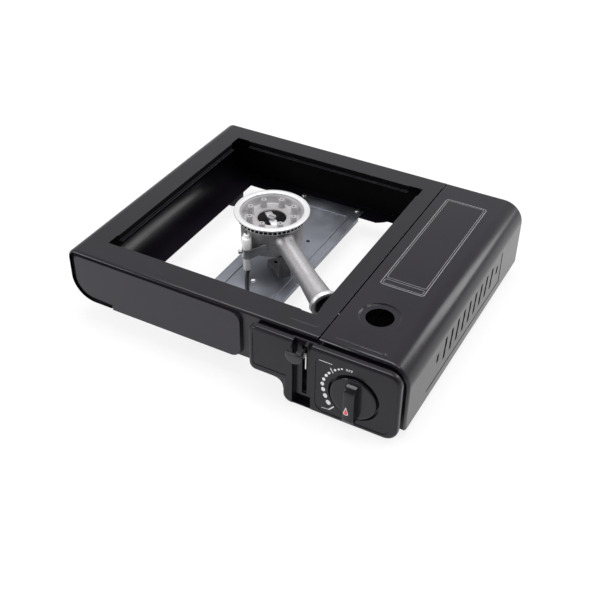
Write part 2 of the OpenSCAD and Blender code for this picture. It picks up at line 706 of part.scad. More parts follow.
module pusher_carriage() color("#a6a7aa") {
    y0 = y_crank - 8;
    y1 = y_can_f + can_l + carriage_travel + 1;
    z1 = z_crank + 7;
    difference() {
        slab(x_carriage, x_carriage + carriage_t, y0, y1 + carriage_t, z_carriage, z1);
        slab(x_carriage - 1, x_carriage + carriage_t + 1, y_crank - crank_pin_r - 0.4,
             y_crank + crank_pin_r + 0.4, z_carriage - 1, z_crank + crank_pin_r + 1.6);
        for (y = guide_ys)
            slab(x_carriage - 1, x_carriage + carriage_t + 1, y - 2.5 - gap,
                 y + 2.5 + gap + carriage_travel, z_crank - 2.5 - gap, z_crank + 2.5 + gap);
    }
    // pusher behind the canister
    difference() {
        slab(x_carriage, x_can + 14, y1, y1 + carriage_t, z_can - 14, z1);
        translate([x_can, 0, z_can]) y_cyl(8, y1 - 1, y1 + carriage_t + 1);
    }
}

// ---------- tray and cradle ----------
module canister_tray() color("#242326") {
    difference() {
        union() {
            slab(x_step + 2, x_tray_r, y_panel, y_panel_r, z_base, z_floor);
            slab(x_tray_r - sheet_t, x_tray_r, y_panel + sheet_t, y_panel_r - sheet_t, z_base,
                 z_base + tray_wall_h);
            slab(x_step + 2, x_step + 2 + sheet_t, y_panel + sheet_t, y_panel_r - sheet_t,
                 z_base, z_left);
        }
        // cooling slots in the floor
        for (x = [x_can - 26, x_can + 23], i = [0:5])
            slab(x, x + 3, y_can_f + 12 + i*28, y_can_f + 28 + i*28, z_base - 1, z_floor + 1);
    }
}
module canister_cradle() color("#242326") {
    r = can_r + gap;
    ya = y_can_f + 14;
    yb = y_can_f + can_l - 22;
    difference() {
        translate([x_can, 0, z_can]) y_cyl(r + sheet_t, ya, yb);
        translate([x_can, 0, z_can]) y_cyl(r, ya - 1, yb + 1);
        slab(x_can - 40, x_can + 40, ya - 1, yb + 1, z_can - 26, z_can + 40);
        for (i = [0:2])
            slab(x_can - 14, x_can + 14, ya + 12 + i*46, ya + 42 + i*46, z_floor - 5, z_can);
    }
}

// ---------- regulator ----------
module on_mix_axis() {
    translate([x_burn, y_burn, z_mix]) rotate([0, 0, -mix_turn]) rotate([0, mix_fall, 0]) children();
}
// the gas pipe leaves the jet at a small angle to the mixing tube
module on_pipe_axis() {
    on_mix_axis() translate([nut_at, 0, 0]) rotate([0, 0, -pipe_turn])
        rotate([0, pipe_fall, 0]) children();
}
module regulator_body() color("#a8a9ab") {
    difference() {
        union() {
            translate([x_can, 0, z_can]) y_cyl(reg_r, y_reg_f, y_reg_r);
            translate([x_dial, 0, z_dial]) y_cyl(8, y_reg_f - 2, y_reg_f + 10);
            intersection() {
                on_pipe_axis() x_cyl(pipe_r + 3, pipe_l - 9, pipe_l + 9);
                slab(x_shield, x_r, y_panel, y_reg_r - 0.5, z_base, z_top);
            }
            translate([0, (y_reg_f + y_reg_r)/2 + 1, z_can]) x_cyl(8, x_can + 10, x_can + reg_r + 5);
            // legs on the front panel
            for (p = reg_legs) translate([p[0], 0, p[1]]) y_cyl(3.2, y_panel + sheet_t, y_reg_f + 8);
        }
        translate([x_dial, 0, z_dial]) y_cyl(shaft_r + run, y_reg_f - 3, y_reg_f + 8.2);
        on_pipe_axis() x_cyl(pipe_r + run, pipe_l - 17, pipe_l + 0.5);
        translate([x_can, 0, z_can]) y_cyl(2, y_reg_r - 6, y_reg_r + 1);
    }
}
reg_legs = [[x_can - 10, z_can + 15], [x_can + 12, z_can + 14]];
module regulator_cover() color("#c9cacc") {
    translate([0, (y_reg_f + y_reg_r)/2 + 1, z_can]) {
        x_cyl(9.3, x_can + reg_r + 5, x_can + reg_r + 7);
        x_cyl(5, x_can + reg_r + 6.9, x_can + reg_r + 9);
    }
}
collar_r = 12.5;                       // room for the canister's collar
socket_l = 7;
module canister_socket() color("#b9babd") {
    translate([x_can, 0, z_can]) difference() {
        union() {
            y_cyl(collar_r + 2.5, y_reg_r, y_reg_r + socket_l);
            y_cyl(collar_r + 5, y_reg_r + socket_l - 1, y_reg_r + socket_l + 0.2);
        }
        y_cyl(collar_r, y_reg_r + 1.5, y_reg_r + socket_l + 1);
        y_cyl(5, y_reg_r - 1, y_reg_r + 2);
        // notch that sets the canister's turn
        slab(-2, 2, y_reg_r + 1.5, y_reg_r + socket_l + 1, collar_r - 2.5, collar_r + 7.5);
    }
}
module socket_seal() color("#1c1c1e") {
    translate([x_can, 0, z_can]) difference() {
        y_cyl(4.8, y_reg_r, y_reg_r + 2.6);
        y_cyl(2.2, y_reg_r - 1, y_reg_r + 4);
    }
}
module gas_pipe() color("#c7a55a") {
    difference() {
        union() {
            on_mix_axis() {
                translate([jet_at, 0, 0]) rotate([0, 90, 0])
                    cylinder(r1 = 1.8, r2 = pipe_r, h = jet_cone + eps);
                x_cyl(pipe_r, jet_at + jet_cone, nut_at + 0.5);
                translate([nut_at, 0, 0]) rotate([0, 90, 0])
                    cylinder(r = pipe_r + 2, h = nut_t, $fn = 6);
            }
            on_pipe_axis() x_cyl(pipe_r, nut_t/3, pipe_l);
        }
        // jet, the wider room behind it, and the pipe's bore
        on_mix_axis() x_cyl(0.5, jet_at - 1, nut_at - 0.5);
        on_mix_axis() x_cyl(pipe_bore_r + 0.5, nut_at - nut_t/2, nut_at + nut_t/3);
        on_pipe_axis() x_cyl(pipe_bore_r, 0, pipe_l + 1);
    }
}
module nozzle_bracket() color("#b5b6b8") {
    on_mix_axis() difference() {
        union() {
            slab(mix_l, mix_l + 11.5, -12, 5, -8, -7);
            slab(mix_l + 10.5, mix_l + 11.5, -12, 5, -8, 6);
            slab(mix_l, mix_l + 1, -8, 5, -12, -7);
        }
        x_cyl(pipe_r + run, mix_l + 10, mix_l + 13);
    }
}

// ---------- burner ----------
module burner_casting() color("#b4b5b7") {
    difference() {
        union() {
            translate([x_burn, y_burn, z_cup]) rotate_extrude() polygon([
                [0, 0], [cup_r - 2, 0], [cup_r - 0.6, 0.6], [cup_r, 2], [cup_r, cup_h], [0, cup_h]]);
            on_mix_axis() {
                translate([cup_r + 1, 0, 0]) sphere(r = mix_r + 1.2);
                translate([16, 0, 0]) rotate([0, 90, 0])
                    cylinder(r1 = mix_r, r2 = mix_flare_r, h = mix_flare - 16);
                translate([mix_flare - eps, 0, 0]) rotate([0, 90, 0])
                    cylinder(r1 = mix_flare_r, r2 = mouth_r, h = mix_l - mix_flare - 2);
                x_cyl(mouth_r + 1.8, mix_l - mouth_flange, mix_l);
            }
        }
        translate([x_burn, y_burn, z_cup]) rotate_extrude() polygon([
            [0, cup_t], [cup_r - cup_t - 2, cup_t], [cup_r - cup_t, cup_t + 2],
            [cup_r - cup_t, cup_h + 1], [0, cup_h + 1]]);
        on_mix_axis() {
            x_cyl(mix_r - tube_t, 14, mix_flare);
            translate([mix_flare - eps, 0, 0]) rotate([0, 90, 0])
                cylinder(r1 = mix_r - tube_t, r2 = mouth_r - 2, h = mix_l - mix_flare + 1);
        }
    }
}
port_w = 1.5;
port_h = 2.2;
module burner_ring() color("#d4d5d7") {
    z0 = z_cup + cup_h;
    translate([x_burn, y_burn, 0]) difference() {
        rotate_extrude() polygon([
            [cup_r - 1, z0], [cup_r + 2.5, z0], [ring_r - 1.5, z_ring - 2.6],
            [ring_r, z_ring - 1.2], [ring_r - 0.8, z_ring], [ring_bore_r + 2, z_ring + 0.3],
            [ring_bore_r, z_ring - 1], [ring_bore_r, z0 + 1.9], [cup_r - 1, z0 + 1.9]]);
        for (i = [0:port_n - 1]) rotate([0, 0, i*360/port_n])
            translate([cup_r - 0.5, -port_w/2, z0 + port_h]) cube([9, port_w, port_h]);
    }
}
post_turn = 5;                         // turn of the first post from straight right
post_h = 9.4;
module burner_dish() color("#cfd0d2") {
    z0 = z_dish;
    z_lip_top = z_cup + cup_h + 1.9;       // rests on the ring's inner lip
    translate([x_burn, y_burn, 0]) difference() {
        union() {
            rotate_extrude() polygon([
                [dish_hole_r, z0 + 1], [dish_hole_r + 2, z0], [cup_r - 3.4, z0],
                [cup_r - 3.4, z_lip_top], [ring_bore_r - 0.1, z_lip_top],
                [ring_bore_r - 0.1, z_ring - 2], [ring_bore_r - 1.3, z_ring - 2],
                [ring_bore_r - 1.3, z_lip_top + 1.4], [cup_r - 4.6, z_lip_top - 0.6],
                [cup_r - 4.6, z0 + 1.2], [dish_hole_r + 2.4, z0 + 1.2], [dish_hole_r, z0 + 2.4]]);
            for (i = [0:post_n - 1]) rotate([0, 0, post_turn + i*360/post_n])
                translate([post_circle_r, 0, z0 + 0.6]) cylinder(r = post_r, h = post_h);
        }
        for (i = [0:post_n - 1]) rotate([0, 0, post_turn + i*360/post_n])
            translate([post_circle_r, 0, z0 - 1]) cylinder(r = 1, h = post_h + 3);
    }
}
module spider_bar() color("#c4c5c7") {
    z0 = z_dish;
    translate([x_burn, y_burn, 0]) rotate([0, 0, -45]) difference() {
        union() {
            slab(-dish_hole_r - 6, dish_hole_r + 6, -4, 4, z0 - 1.2, z0);
            translate([0, 0, z0 - 1.2]) cylinder(r = 6, h = 2.4);
        }
        translate([0, 0, z0 - 3]) cylinder(r = 2 + run, h = 8);
    }
}
module burner_screw() color("#d8d9db") {
    translate([x_burn, y_burn, 0]) difference() {
        union() {
            translate([0, 0, z_cup + cup_t]) cylinder(r = 2, h = z_dish + 1.3 - z_cup - cup_t);
            translate([0, 0, z_dish + 1.2]) cylinder(r = 4, h = 2.2);
        }
        slab(-5, 5, -0.5, 0.5, z_dish + 2.4, z_dish + 5);
    }
}

// ---------- burner support, crossbar ----------
module burner_support() color("#1f1f21") {
    h = z_cup - z_bar;
    t = 1.2;
    y0 = -6.5;
    y1 = 5.5;
    xa = 3;
    xb = 31.5;
    translate([x_burn, y_burn, z_bar]) rotate([0, 0, -mix_turn]) difference() {
        union() {
            // boxed foot, upright and the shelf under the burner
            difference() {
                slab(xa, xb, y0, y1, 0, 4);
                slab(xa + t, xb - t, y0 + t, y1 - t, -1, 4 - t);
            }
            slab(xb - t, xb, y0, y1, 0, h);
            slab(-8, xb, y0, y1, h - t, h);
        }
        translate([xa + 7, -0.5, 0]) cylinder(r = 2.2, h = h - 4);
    }
}
module crossbar() color("#c3c7cb") {
    y0 = y_panel + 5;
    y1 = y_panel_r - 10;
    z0 = z_lip;
    difference() {
        union() {
            slab(bar_x0, bar_x1, y0, y1, z0, z_bar);
            for (x = [bar_x0, bar_x1 - sheet_t])
                slab(x, x + sheet_t, y_panel + 24, y_panel_r - 24, z0 - 4, z0 + sheet_t/2);
            // raised frame pressed in the sheet
            difference() {
                slab(bar_x0 + 9, bar_x1 - 9, y0 + 20, y1 - 16, z_bar - eps, z_bar + 1);
                slab(bar_x0 + 12, bar_x1 - 12, y0 + 23, y1 - 19, z_bar - 1, z_bar + 2);
            }
        }
        for (p = bar_screws) translate([p[0], p[1], z0 - 1]) cylinder(r = 2 + run, h = 4);
        translate([x_burn + 0.5, y_burn - 38, z0 - 1]) cylinder(r = 3.5, h = 4);
        translate([x_burn + 15.5, y_burn + 45.6, z0 - 1]) cylinder(r = 1.6, h = 4);
    }
}
bar_screws = [[bar_x0 + 4, y_panel + 10], [bar_x1 - 6, y_panel + 10],
              [bar_x0 + 4, y_panel_r - 13.6], [bar_x1 - 6, y_panel_r - 13.6]];
module pan_screw(r, h, head_r) {
    cylinder(r = r, h = h + 0.5);
    translate([0, 0, h]) cylinder(r1 = head_r, r2 = head_r*0.7, h = 1.8);
}
module crossbar_screws() color("#d0d1d3") {
    for (p = bar_screws) translate([p[0], p[1], z_lip]) pan_screw(2, sheet_t, 3.6);
}
module panel_screws() color("#c5c6c8") {
    for (p = bezel_screws) translate([p[0], y_panel + sheet_t, p[1]]) rotate([90, 0, 0]) {
        cylinder(r = 1.1, h = 8);
        translate([0, 0, -1.6]) cylinder(r = 2.8, h = 1.6);
    }
}

// ---------- ignition ----------
module electrode_insulator() color("#ecebe4") {
    translate([x_el, y_el, 0]) difference() {
        union() {
            translate([0, 0, z_el - 10]) cylinder(r = insul_r, h = band_z + band_h + 10.5);
            translate([0, 0, z_el + band_z + band_h]) cylinder(r = insul_r + 0.6, h = 11.8);
            translate([0, 0, z_el + band_z + band_h + 11.7]) cylinder(r = insul_r - 1.1, h = 4);
        }
        translate([0, 0, z_el - 11]) cylinder(r = wire_r + run, h = 50);
    }
}
module electrode_rod() color("#9c9da0") {
    translate([x_el, y_el, z_el - 8]) cylinder(r = wire_r, h = 41);
}
module electrode_clip() color("#a9aaac") {
    translate([x_el, y_el, 0]) difference() {
        union() {
            translate([0, 0, z_el + band_z]) cylinder(r = insul_r + 0.9, h = band_h);
            // stay from the band up to the burner's wall
            rotate([0, 0, 27.4]) translate([2, -4.2, z_el]) rotate([90, 0, 0]) linear_extrude(0.9)
                polygon([[0, band_z], [16.6, 13], [16.6, 21.5], [0, band_z + band_h]]);
        }
        translate([0, 0, z_el + band_z - 1]) cylinder(r = insul_r + run, h = band_h + 2);
    }
}
function unit(v) = v/norm(v);
function along(p, i) = unit(p[min(i + 1, len(p) - 1)] - p[max(i - 1, 0)]);
function side_of(t) = unit(cross(t, abs(t[2]) > 0.9 ? [0, 1, 0] : [0, 0, 1]));
function carried(t, s) = unit(s - (s*t)*t);
function sides(p, i) = i == 0 ? side_of(along(p, 0)) : carried(along(p, i), sides(p, i - 1));
function ring_at(p, i, r, n) = let (t = along(p, i), a = sides(p, i), b = cross(t, a))
    [for (k = [0:n - 1]) p[i] + r*(cos(k*360/n)*a + sin(k*360/n)*b)];
module tube(p, r, n) {
    m = len(p);
    pts = [for (i = [0:m - 1]) each ring_at(p, i, r, n)];
    walls = [for (i = [0:m - 2], k = [0:n - 1])
        [i*n + k, i*n + (k + 1)%n, (i + 1)*n + (k + 1)%n, (i + 1)*n + k]];
    polyhedron(pts, concat(walls, [[for (k = [n - 1:-1:0]) k]],
        [[for (k = [0:n - 1]) (m - 1)*n + k]]), convexity = 6);
}
module ignition_cable() color("#19191b") tube(cable_points, cable_r, 8);
module piezo_igniter() color("#2e2d30") {
    difference() {
        translate([0, y_piezo, z_dial]) union() {
            x_cyl(piezo_r, x_plunger - 26, x_plunger - plunger_stroke - 1.5);
            x_cyl(piezo_r + 0.5, x_plunger - 12, x_plunger - 9);
        }
        translate([0, y_piezo, z_dial]) x_cyl(2.5 + run, x_plunger - 20, x_plunger);
    }
    // saddle on the front panel
    slab(x_plunger - 24, x_plunger - 14, y_panel + sheet_t, y_piezo - piezo_r + 0.6,
         z_dial - 3, z_dial + 3);
}
module igniter_plunger() color("#d9d8d2") {
    translate([0, y_piezo, z_dial])
        x_cyl(2.5, x_plunger - plunger_stroke - 10, x_plunger);
}

// ---------- feet ----------
module left_feet() color("#1c1c1e") {
    for (y = [y_front + 42, y_rear - 34]) translate([x_l + 27, y, 0]) {
        cylinder(r1 = foot_r - 1, r2 = foot_r, h = z_left);
    }
}
module right_feet() color("#1c1c1e") {
    for (y = [y_front + 30, y_rear - 30]) translate([x_r - 30, y, 0])
        cylinder(r1 = foot_r - 2, r2 = foot_r - 1, h = z_base);
}

body_shell();
front_panel();
rear_panel();
lid();
hinge_rod();
control_panel();
knob();
knob_shaft();
lever_arm();
lever_grip();
lever_pivot_pin();
pusher_carriage();
heat_shield();
canister_tray();
canister_cradle();
regulator_body();
regulator_cover();
canister_socket();
socket_seal();
gas_pipe();
nozzle_bracket();
burner_casting();
burner_ring();
burner_dish();
spider_bar();
burner_screw();
burner_support();
crossbar();
crossbar_screws();
panel_screws();
electrode_insulator();
electrode_rod();
electrode_clip();
ignition_cable();
piezo_igniter();
igniter_plunger();
left_feet();
right_feet();
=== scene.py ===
# %% [markdown]
# # Portable gas stove
# The stove arrives as finished solids, each one a separate named object. This lesson gives each
# of them its finish, adds the small printed and pressed marks that are too fine for the
# solids, and lights the whole for a product picture. Loading comes first, because every
# later cell asks the loaded frame where its pieces are.

# %% Load the stove's solids
import math
import bmesh
import bpy
from mathutils import Matrix, Vector


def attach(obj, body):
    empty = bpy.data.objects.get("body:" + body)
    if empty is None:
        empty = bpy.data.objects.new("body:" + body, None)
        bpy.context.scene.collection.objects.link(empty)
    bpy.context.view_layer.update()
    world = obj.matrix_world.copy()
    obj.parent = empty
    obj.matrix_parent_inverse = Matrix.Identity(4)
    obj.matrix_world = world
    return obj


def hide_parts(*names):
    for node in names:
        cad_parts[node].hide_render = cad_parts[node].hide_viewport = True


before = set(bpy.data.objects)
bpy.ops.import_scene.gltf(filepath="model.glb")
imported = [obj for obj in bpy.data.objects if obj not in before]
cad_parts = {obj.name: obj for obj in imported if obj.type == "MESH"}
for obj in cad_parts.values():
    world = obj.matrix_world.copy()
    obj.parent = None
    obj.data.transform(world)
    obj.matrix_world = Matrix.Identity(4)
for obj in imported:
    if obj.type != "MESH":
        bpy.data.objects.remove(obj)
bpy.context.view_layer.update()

MM = 0.001

# %% [markdown]
# ## Camera
# A product picture looks at the stove from its front left and from above. A camera can be
# aimed with a constraint, but a matrix built from an azimuth, an elevation and a small roll
# is exact and easy to read: three axes give the turn, and a distance along the view axis
# gives the place.

# %% Camera from azimuth, elevation and roll
CAM_AZIMUTH = math.radians(28.13)
CAM_ELEVATION = math.radians(37.86)
CAM_ROLL = math.radians(0.74)
CAM_TARGET = Vector((0, 8.5, 46)) * MM
CAM_OFFSET = Vector((-2.67, -45.19, 953.95)) * MM
LENS, SENSOR, FARTHEST = 59.81, 36, 20         # millimetres, millimetres, metres

def view_axes(azimuth, elevation, roll):
    back = Vector((math.sin(azimuth) * math.cos(elevation),
                   -math.cos(azimuth) * math.cos(elevation), math.sin(elevation)))
    right = Vector((math.cos(azimuth), math.sin(azimuth), 0))
    up = back.cross(right)
    return (right * math.cos(roll) + up * math.sin(roll),
            up * math.cos(roll) - right * math.sin(roll), back)

right, up, back = view_axes(CAM_AZIMUTH, CAM_ELEVATION, CAM_ROLL)
camera = bpy.data.objects.new("camera", bpy.data.cameras.new("camera"))
camera.data.lens = LENS
camera.data.sensor_width = SENSOR
camera.data.clip_end = FARTHEST
place = CAM_TARGET + right * CAM_OFFSET.x + up * CAM_OFFSET.y + back * CAM_OFFSET.z
camera.matrix_world = Matrix((
    (right.x, up.x, back.x, place.x),
    (right.y, up.y, back.y, place.y),
    (right.z, up.z, back.z, place.z),
    (0, 0, 0, 1)))
bpy.context.collection.objects.link(camera)
bpy.context.scene.camera = camera
bpy.context.scene.view_settings.view_transform = "Standard"
print("camera at", [round(v, 3) for v in place])

# %% [markdown]
# ## Small tools
# Two kinds of helper serve the whole lesson. Some build node networks, and a call to one
# reads like the sum it stands for. Others turn points in millimetres into meshes: every
# fine piece below is a row of outlines with faces laid between them.

# %% Helpers for node networks
NOISE_LOW, NOISE_HIGH = 0.3, 0.7      # nearly all of a noise texture lies between these

def new_material(name):
    made = bpy.data.materials.new(name)
    made.use_nodes = True
    nodes, links = made.node_tree.nodes, made.node_tree.links
    return made, nodes, links, nodes["Principled BSDF"]

def wire(nodes, links, kind, operation, values):
    step = nodes.new(kind)
    step.operation = operation
    for socket, value in zip(step.inputs, values):
        if isinstance(value, bpy.types.NodeSocket):
            links.new(value, socket)
        else:
            socket.default_value = value
    return step.outputs

def calculate(nodes, links, operation, *values):
    return wire(nodes, links, "ShaderNodeMath", operation, values)[0]

def compare(nodes, links, first, second):
    """Dot product: above 0 where two directions agree, below 0 where they oppose."""
    return wire(nodes, links, "ShaderNodeVectorMath", "DOT_PRODUCT", (first, second))["Value"]

def remap(nodes, links, source, low, high, start=NOISE_LOW, end=NOISE_HIGH):
    ramp = nodes.new("ShaderNodeMapRange")
    for socket, value in (("From Min", start), ("From Max", end), ("To Min", low),
                          ("To Max", high)):
        ramp.inputs[socket].default_value = value
    links.new(source, ramp.inputs["Value"])
    return ramp.outputs["Result"]

def mix_surface(nodes, links, share, first, second, output):
    mix = nodes.new("ShaderNodeMixShader")
    links.new(share, mix.inputs["Fac"])
    links.new(first.outputs[0], mix.inputs[1])
    links.new(second.outputs[0], mix.inputs[2])
    links.new(mix.outputs[0], nodes[output].inputs["Surface"])

print("noise is read from", NOISE_LOW, "to", NOISE_HIGH)

# %% Helpers for rings and lofts
def circle_angles(count):
    return [2 * math.pi * k / count for k in range(count)]

def radians_of(*degrees):
    return [math.radians(d) for d in degrees]

def bridge(made, low, high):
    """Faces between two closed rings of vertices."""
    for i in range(len(low)):
        j = (i + 1) % len(low)
        made.faces.new((low[i], low[j], high[j], high[i]))

def add_loft(made, rings, close_ends=True):
    """Faces between rings of points in millimetres; every ring has the same length."""
    rows = [[made.verts.new(Vector(p) * MM) for p in ring] for ring in rings]
    for low, high in zip(rows, rows[1:]):
        bridge(made, low, high)
    if close_ends:
        made.faces.new(rows[0][::-1])
        made.faces.new(rows[-1])

def upright_rings(middle, profile, count, base=0.0):
    """Level rings round an upright axis, from (radius, height) points."""
    return [[(middle[0] + r * math.cos(t), middle[1] + r * math.sin(t), base + z)
             for t in circle_angles(count)] for r, z in profile]

def slanted_rings(start, along, side, up, profile, count):
    """Rings round a slanted axis, from (radius, distance along it) points."""
    return [[start + along * d + (side * math.cos(t) + up * math.sin(t)) * r
             for t in circle_angles(count)] for r, d in profile]

print("a ring of four starts at", circle_angles(4)[0])

# %% Helpers that make pieces
SHARP = 40                            # degrees: a steeper fold than this stays a crisp edge

def new_piece(name, made):
    mesh = bpy.data.meshes.new(name)
    made.to_mesh(mesh)
    made.free()
    piece = bpy.data.objects.new(name, mesh)
    bpy.context.collection.objects.link(piece)
    return piece

def mesh_piece(name, made, sharp=SHARP):
    bmesh.ops.recalc_face_normals(made, faces=made.faces)
    for face in made.faces:
        face.smooth = True
    for edge in made.edges:
        if len(edge.link_faces) == 2 and edge.calc_face_angle() > math.radians(sharp):
            edge.smooth = False
    return new_piece(name, made)

def loft_piece(name, rings, sharp=SHARP, close_ends=True):
    made = bmesh.new()
    add_loft(made, rings, close_ends)
    return mesh_piece(name, made, sharp)

def finish_piece(piece, material, body):
    piece.data.materials.append(material)
    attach(piece, body)

def say_size(label, piece):
    print(label, "in mm:", [round(v * 1000, 1) for v in piece.dimensions])

print("a fold stays crisp above", SHARP, "degrees")

# %% [markdown]
# ## Floor, lamps and world
# Black enamel has almost no colour of its own: what is seen is the room, reflected at a few
# parts in a hundred. So what stands round the stove matters more than how strong the lamps
# are. The floor is a wide pale plane that camera rays and mirror rays see as white. Under
# the stove it stays a real, shaded floor, or the inside would be lit by a glow that the
# stove's own shadow should have swallowed. The world is white as well, but one fixed
# side of it is dim for mirror rays, and four soft lamps draw the highlights.

# %% Floor
SHADED_FLOOR = (("X", 0.165), ("Y", 0.140))     # half sizes of the floor that stays real
FLOOR_HALF = 6.0
FLOOR_COLOUR = (0.9, 0.9, 0.9, 1)
FLOOR_ROUGH, FLOOR_SHINE = 0.9, 0.1
WHITENING = 0.82                                # share of plain white where it's seen open

def under_the_stove(nodes, links):
    place = nodes.new("ShaderNodeTexCoord")
    parts = nodes.new("ShaderNodeSeparateXYZ")
    links.new(place.outputs["Object"], parts.inputs[0])
    inside = []
    for axis, half in SHADED_FLOOR:
        span = calculate(nodes, links, "ABSOLUTE", parts.outputs[axis])
        inside.append(calculate(nodes, links, "LESS_THAN", span, half))
    return calculate(nodes, links, "MULTIPLY", *inside)

def pale_floor(size):
    mesh = bpy.data.meshes.new("floor")
    mesh.from_pydata([(-size, -size, 0), (size, -size, 0), (size, size, 0), (-size, size, 0)],
                     [], [(0, 1, 2, 3)])
    floor = bpy.data.objects.new("floor", mesh)
    bpy.context.collection.objects.link(floor)
    made, nodes, links, shader = new_material("floor_white")
    shader.inputs["Base Color"].default_value = FLOOR_COLOUR
    shader.inputs["Roughness"].default_value = FLOOR_ROUGH
    shader.inputs["Specular IOR Level"].default_value = FLOOR_SHINE
    glow = nodes.new("ShaderNodeEmission")
    glow.inputs["Strength"].default_value = 1.0
    ray = nodes.new("ShaderNodeLightPath").outputs
    mirror = calculate(nodes, links, "MAXIMUM", ray["Is Glossy Ray"], ray["Is Transmission Ray"])
    open_floor = calculate(nodes, links, "SUBTRACT", 1.0, under_the_stove(nodes, links))
    mirror = calculate(nodes, links, "MULTIPLY", mirror, open_floor)
    seen = calculate(nodes, links, "MAXIMUM", ray["Is Camera Ray"], mirror)
    share = calculate(nodes, links, "MULTIPLY", seen, WHITENING)
    mix_surface(nodes, links, share, shader, glow, "Material Output")
    floor.data.materials.append(made)
    return floor

floor = pale_floor(FLOOR_HALF)
print("floor:", floor.name, [round(v, 1) for v in floor.dimensions])

# %% World
WHITE = (1, 1, 1, 1)
ROOM_LIGHT = 0.80                               # the light that really falls on the stove
UNLIT_SIDE = Vector((0.25, -0.72, 0.65)).normalized()
DIM_START, DIM_FULL = 0.30, 0.85                # how closely a mirror ray points that way
MIRROR_BRIGHT, MIRROR_DIM = 0.8, 0.20           # what it meets away from that side, and there

def white_world():
    made = bpy.data.worlds.new("studio")
    made.use_nodes = True
    nodes, links = made.node_tree.nodes, made.node_tree.links
    room = nodes["Background"]
    room.inputs["Color"].default_value = WHITE
    room.inputs["Strength"].default_value = ROOM_LIGHT
    white_wall = nodes.new("ShaderNodeBackground")
    white_wall.inputs["Color"].default_value = WHITE
    ray = nodes.new("ShaderNodeLightPath").outputs
    sees_white = calculate(nodes, links, "MAXIMUM", ray["Is Camera Ray"],
                           ray["Is Transmission Ray"])
    sees_white = calculate(nodes, links, "MAXIMUM", sees_white, ray["Is Glossy Ray"])
    # one fixed side of the room is unlit, so polished fronts have something dark to mirror
    heading = nodes.new("ShaderNodeTexCoord")
    toward_unlit = compare(nodes, links, heading.outputs["Generated"], UNLIT_SIDE)
    met = remap(nodes, links, toward_unlit, MIRROR_BRIGHT, MIRROR_DIM, DIM_START, DIM_FULL)
    loss = calculate(nodes, links, "SUBTRACT", 1.0, met)
    loss = calculate(nodes, links, "MULTIPLY", loss, ray["Is Glossy Ray"])
    links.new(calculate(nodes, links, "SUBTRACT", 1.0, loss), white_wall.inputs["Strength"])
    mix_surface(nodes, links, sees_white, room, white_wall, "World Output")
    return made

bpy.context.scene.world = white_world()
print("world:", bpy.context.scene.world.name, "unlit side:", [round(v, 2) for v in UNLIT_SIDE])

# %% Lamps
def softbox(name, centre, aim, width, height, power):
    lamp = bpy.data.objects.new(name, bpy.data.lights.new(name, "AREA"))
    lamp.data.shape = "RECTANGLE"
    lamp.data.size = width
    lamp.data.size_y = height
    lamp.data.energy = power
    lamp.location = centre
    lamp.rotation_euler = (Vector(aim) - Vector(centre)).to_track_quat("-Z", "Y").to_euler()
    bpy.context.collection.objects.link(lamp)
    return lamp

SOFTBOXES = [                                   # name, place, aim, width, height, watts
    ("softbox_overhead", (0.0, 0.1, 1.6), (0, 0, 0.05), 1.3, 0.7, 18),
    ("softbox_left", (-1.3, -1.3, 1.0), (0, 0, 0.04), 0.8, 0.6, 12),
    ("softbox_back_right", (1.1, 1.35, 0.85), (0.1, 0, 0.04), 0.4, 0.9, 6),
    ("small_right", (0.95, 0.12, 1.40), (0.15, -0.1, 0.06), 0.22, 0.22, 2.2)]
lamps = [softbox(*values) for values in SOFTBOXES]
print("lamps:", [lamp.name for lamp in lamps])

# %% [markdown]
# ## Finishes
# Nearly everything on the stove is one of a handful of finishes: baked black enamel on
# sheet steel, moulded plastic, galvanised sheet, die-cast alloy and turned alloy. Each is
# built once as a node material and shared. Object coordinates carry the grain,
# because they keep its size in metres and need no unwrapping.

# %% Helpers that all finishes share
def grain(nodes, links, scale, detail, stretch=(1, 1, 1)):
    coordinates = nodes.new("ShaderNodeTexCoord")
    mapping = nodes.new("ShaderNodeMapping")
    mapping.inputs["Scale"].default_value = stretch
    noise = nodes.new("ShaderNodeTexNoise")
    noise.inputs["Scale"].default_value = scale
    noise.inputs["Detail"].default_value = detail
    links.new(coordinates.outputs["Object"], mapping.inputs["Vector"])
    links.new(mapping.outputs["Vector"], noise.inputs["Vector"])
    return noise.outputs["Fac"]

def tint(nodes, links, source, dark, light):
    ramp = nodes.new("ShaderNodeValToRGB")
    stops = zip(ramp.color_ramp.elements, (NOISE_LOW, NOISE_HIGH), (dark, light))
    for stop, place, colour in stops:
        stop.position = place
        stop.color = (*colour, 1)
    links.new(source, ramp.inputs["Fac"])
    return ramp.outputs["Color"]

def blend_colour(nodes, links, share, first, second):
    mix = nodes.new("ShaderNodeMix")
    mix.data_type = "RGBA"
    links.new(share, mix.inputs[0])
    for socket, colour in ((mix.inputs[6], first), (mix.inputs[7], second)):
        if isinstance(colour, tuple):
            socket.default_value = (*colour, 1)
        else:
            links.new(colour, socket)
    return mix.outputs[2]

def relief(nodes, links, shader, source, depth, strength):
    bump = nodes.new("ShaderNodeBump")
    bump.inputs["Distance"].default_value = depth
    bump.inputs["Strength"].default_value = strength
    links.new(source, bump.inputs["Height"])
    links.new(bump.outputs["Normal"], shader.inputs["Normal"])

print("dark and light tints meet noise at", NOISE_LOW, "and", NOISE_HIGH)

# %% Helpers for worn edges and painted shade on inner sides
RUB_RADIUS = 0.0007                             # how far from an edge the coat is rubbed
LEDGE_TILT = 0.4                                # an upward share above this is a ledge

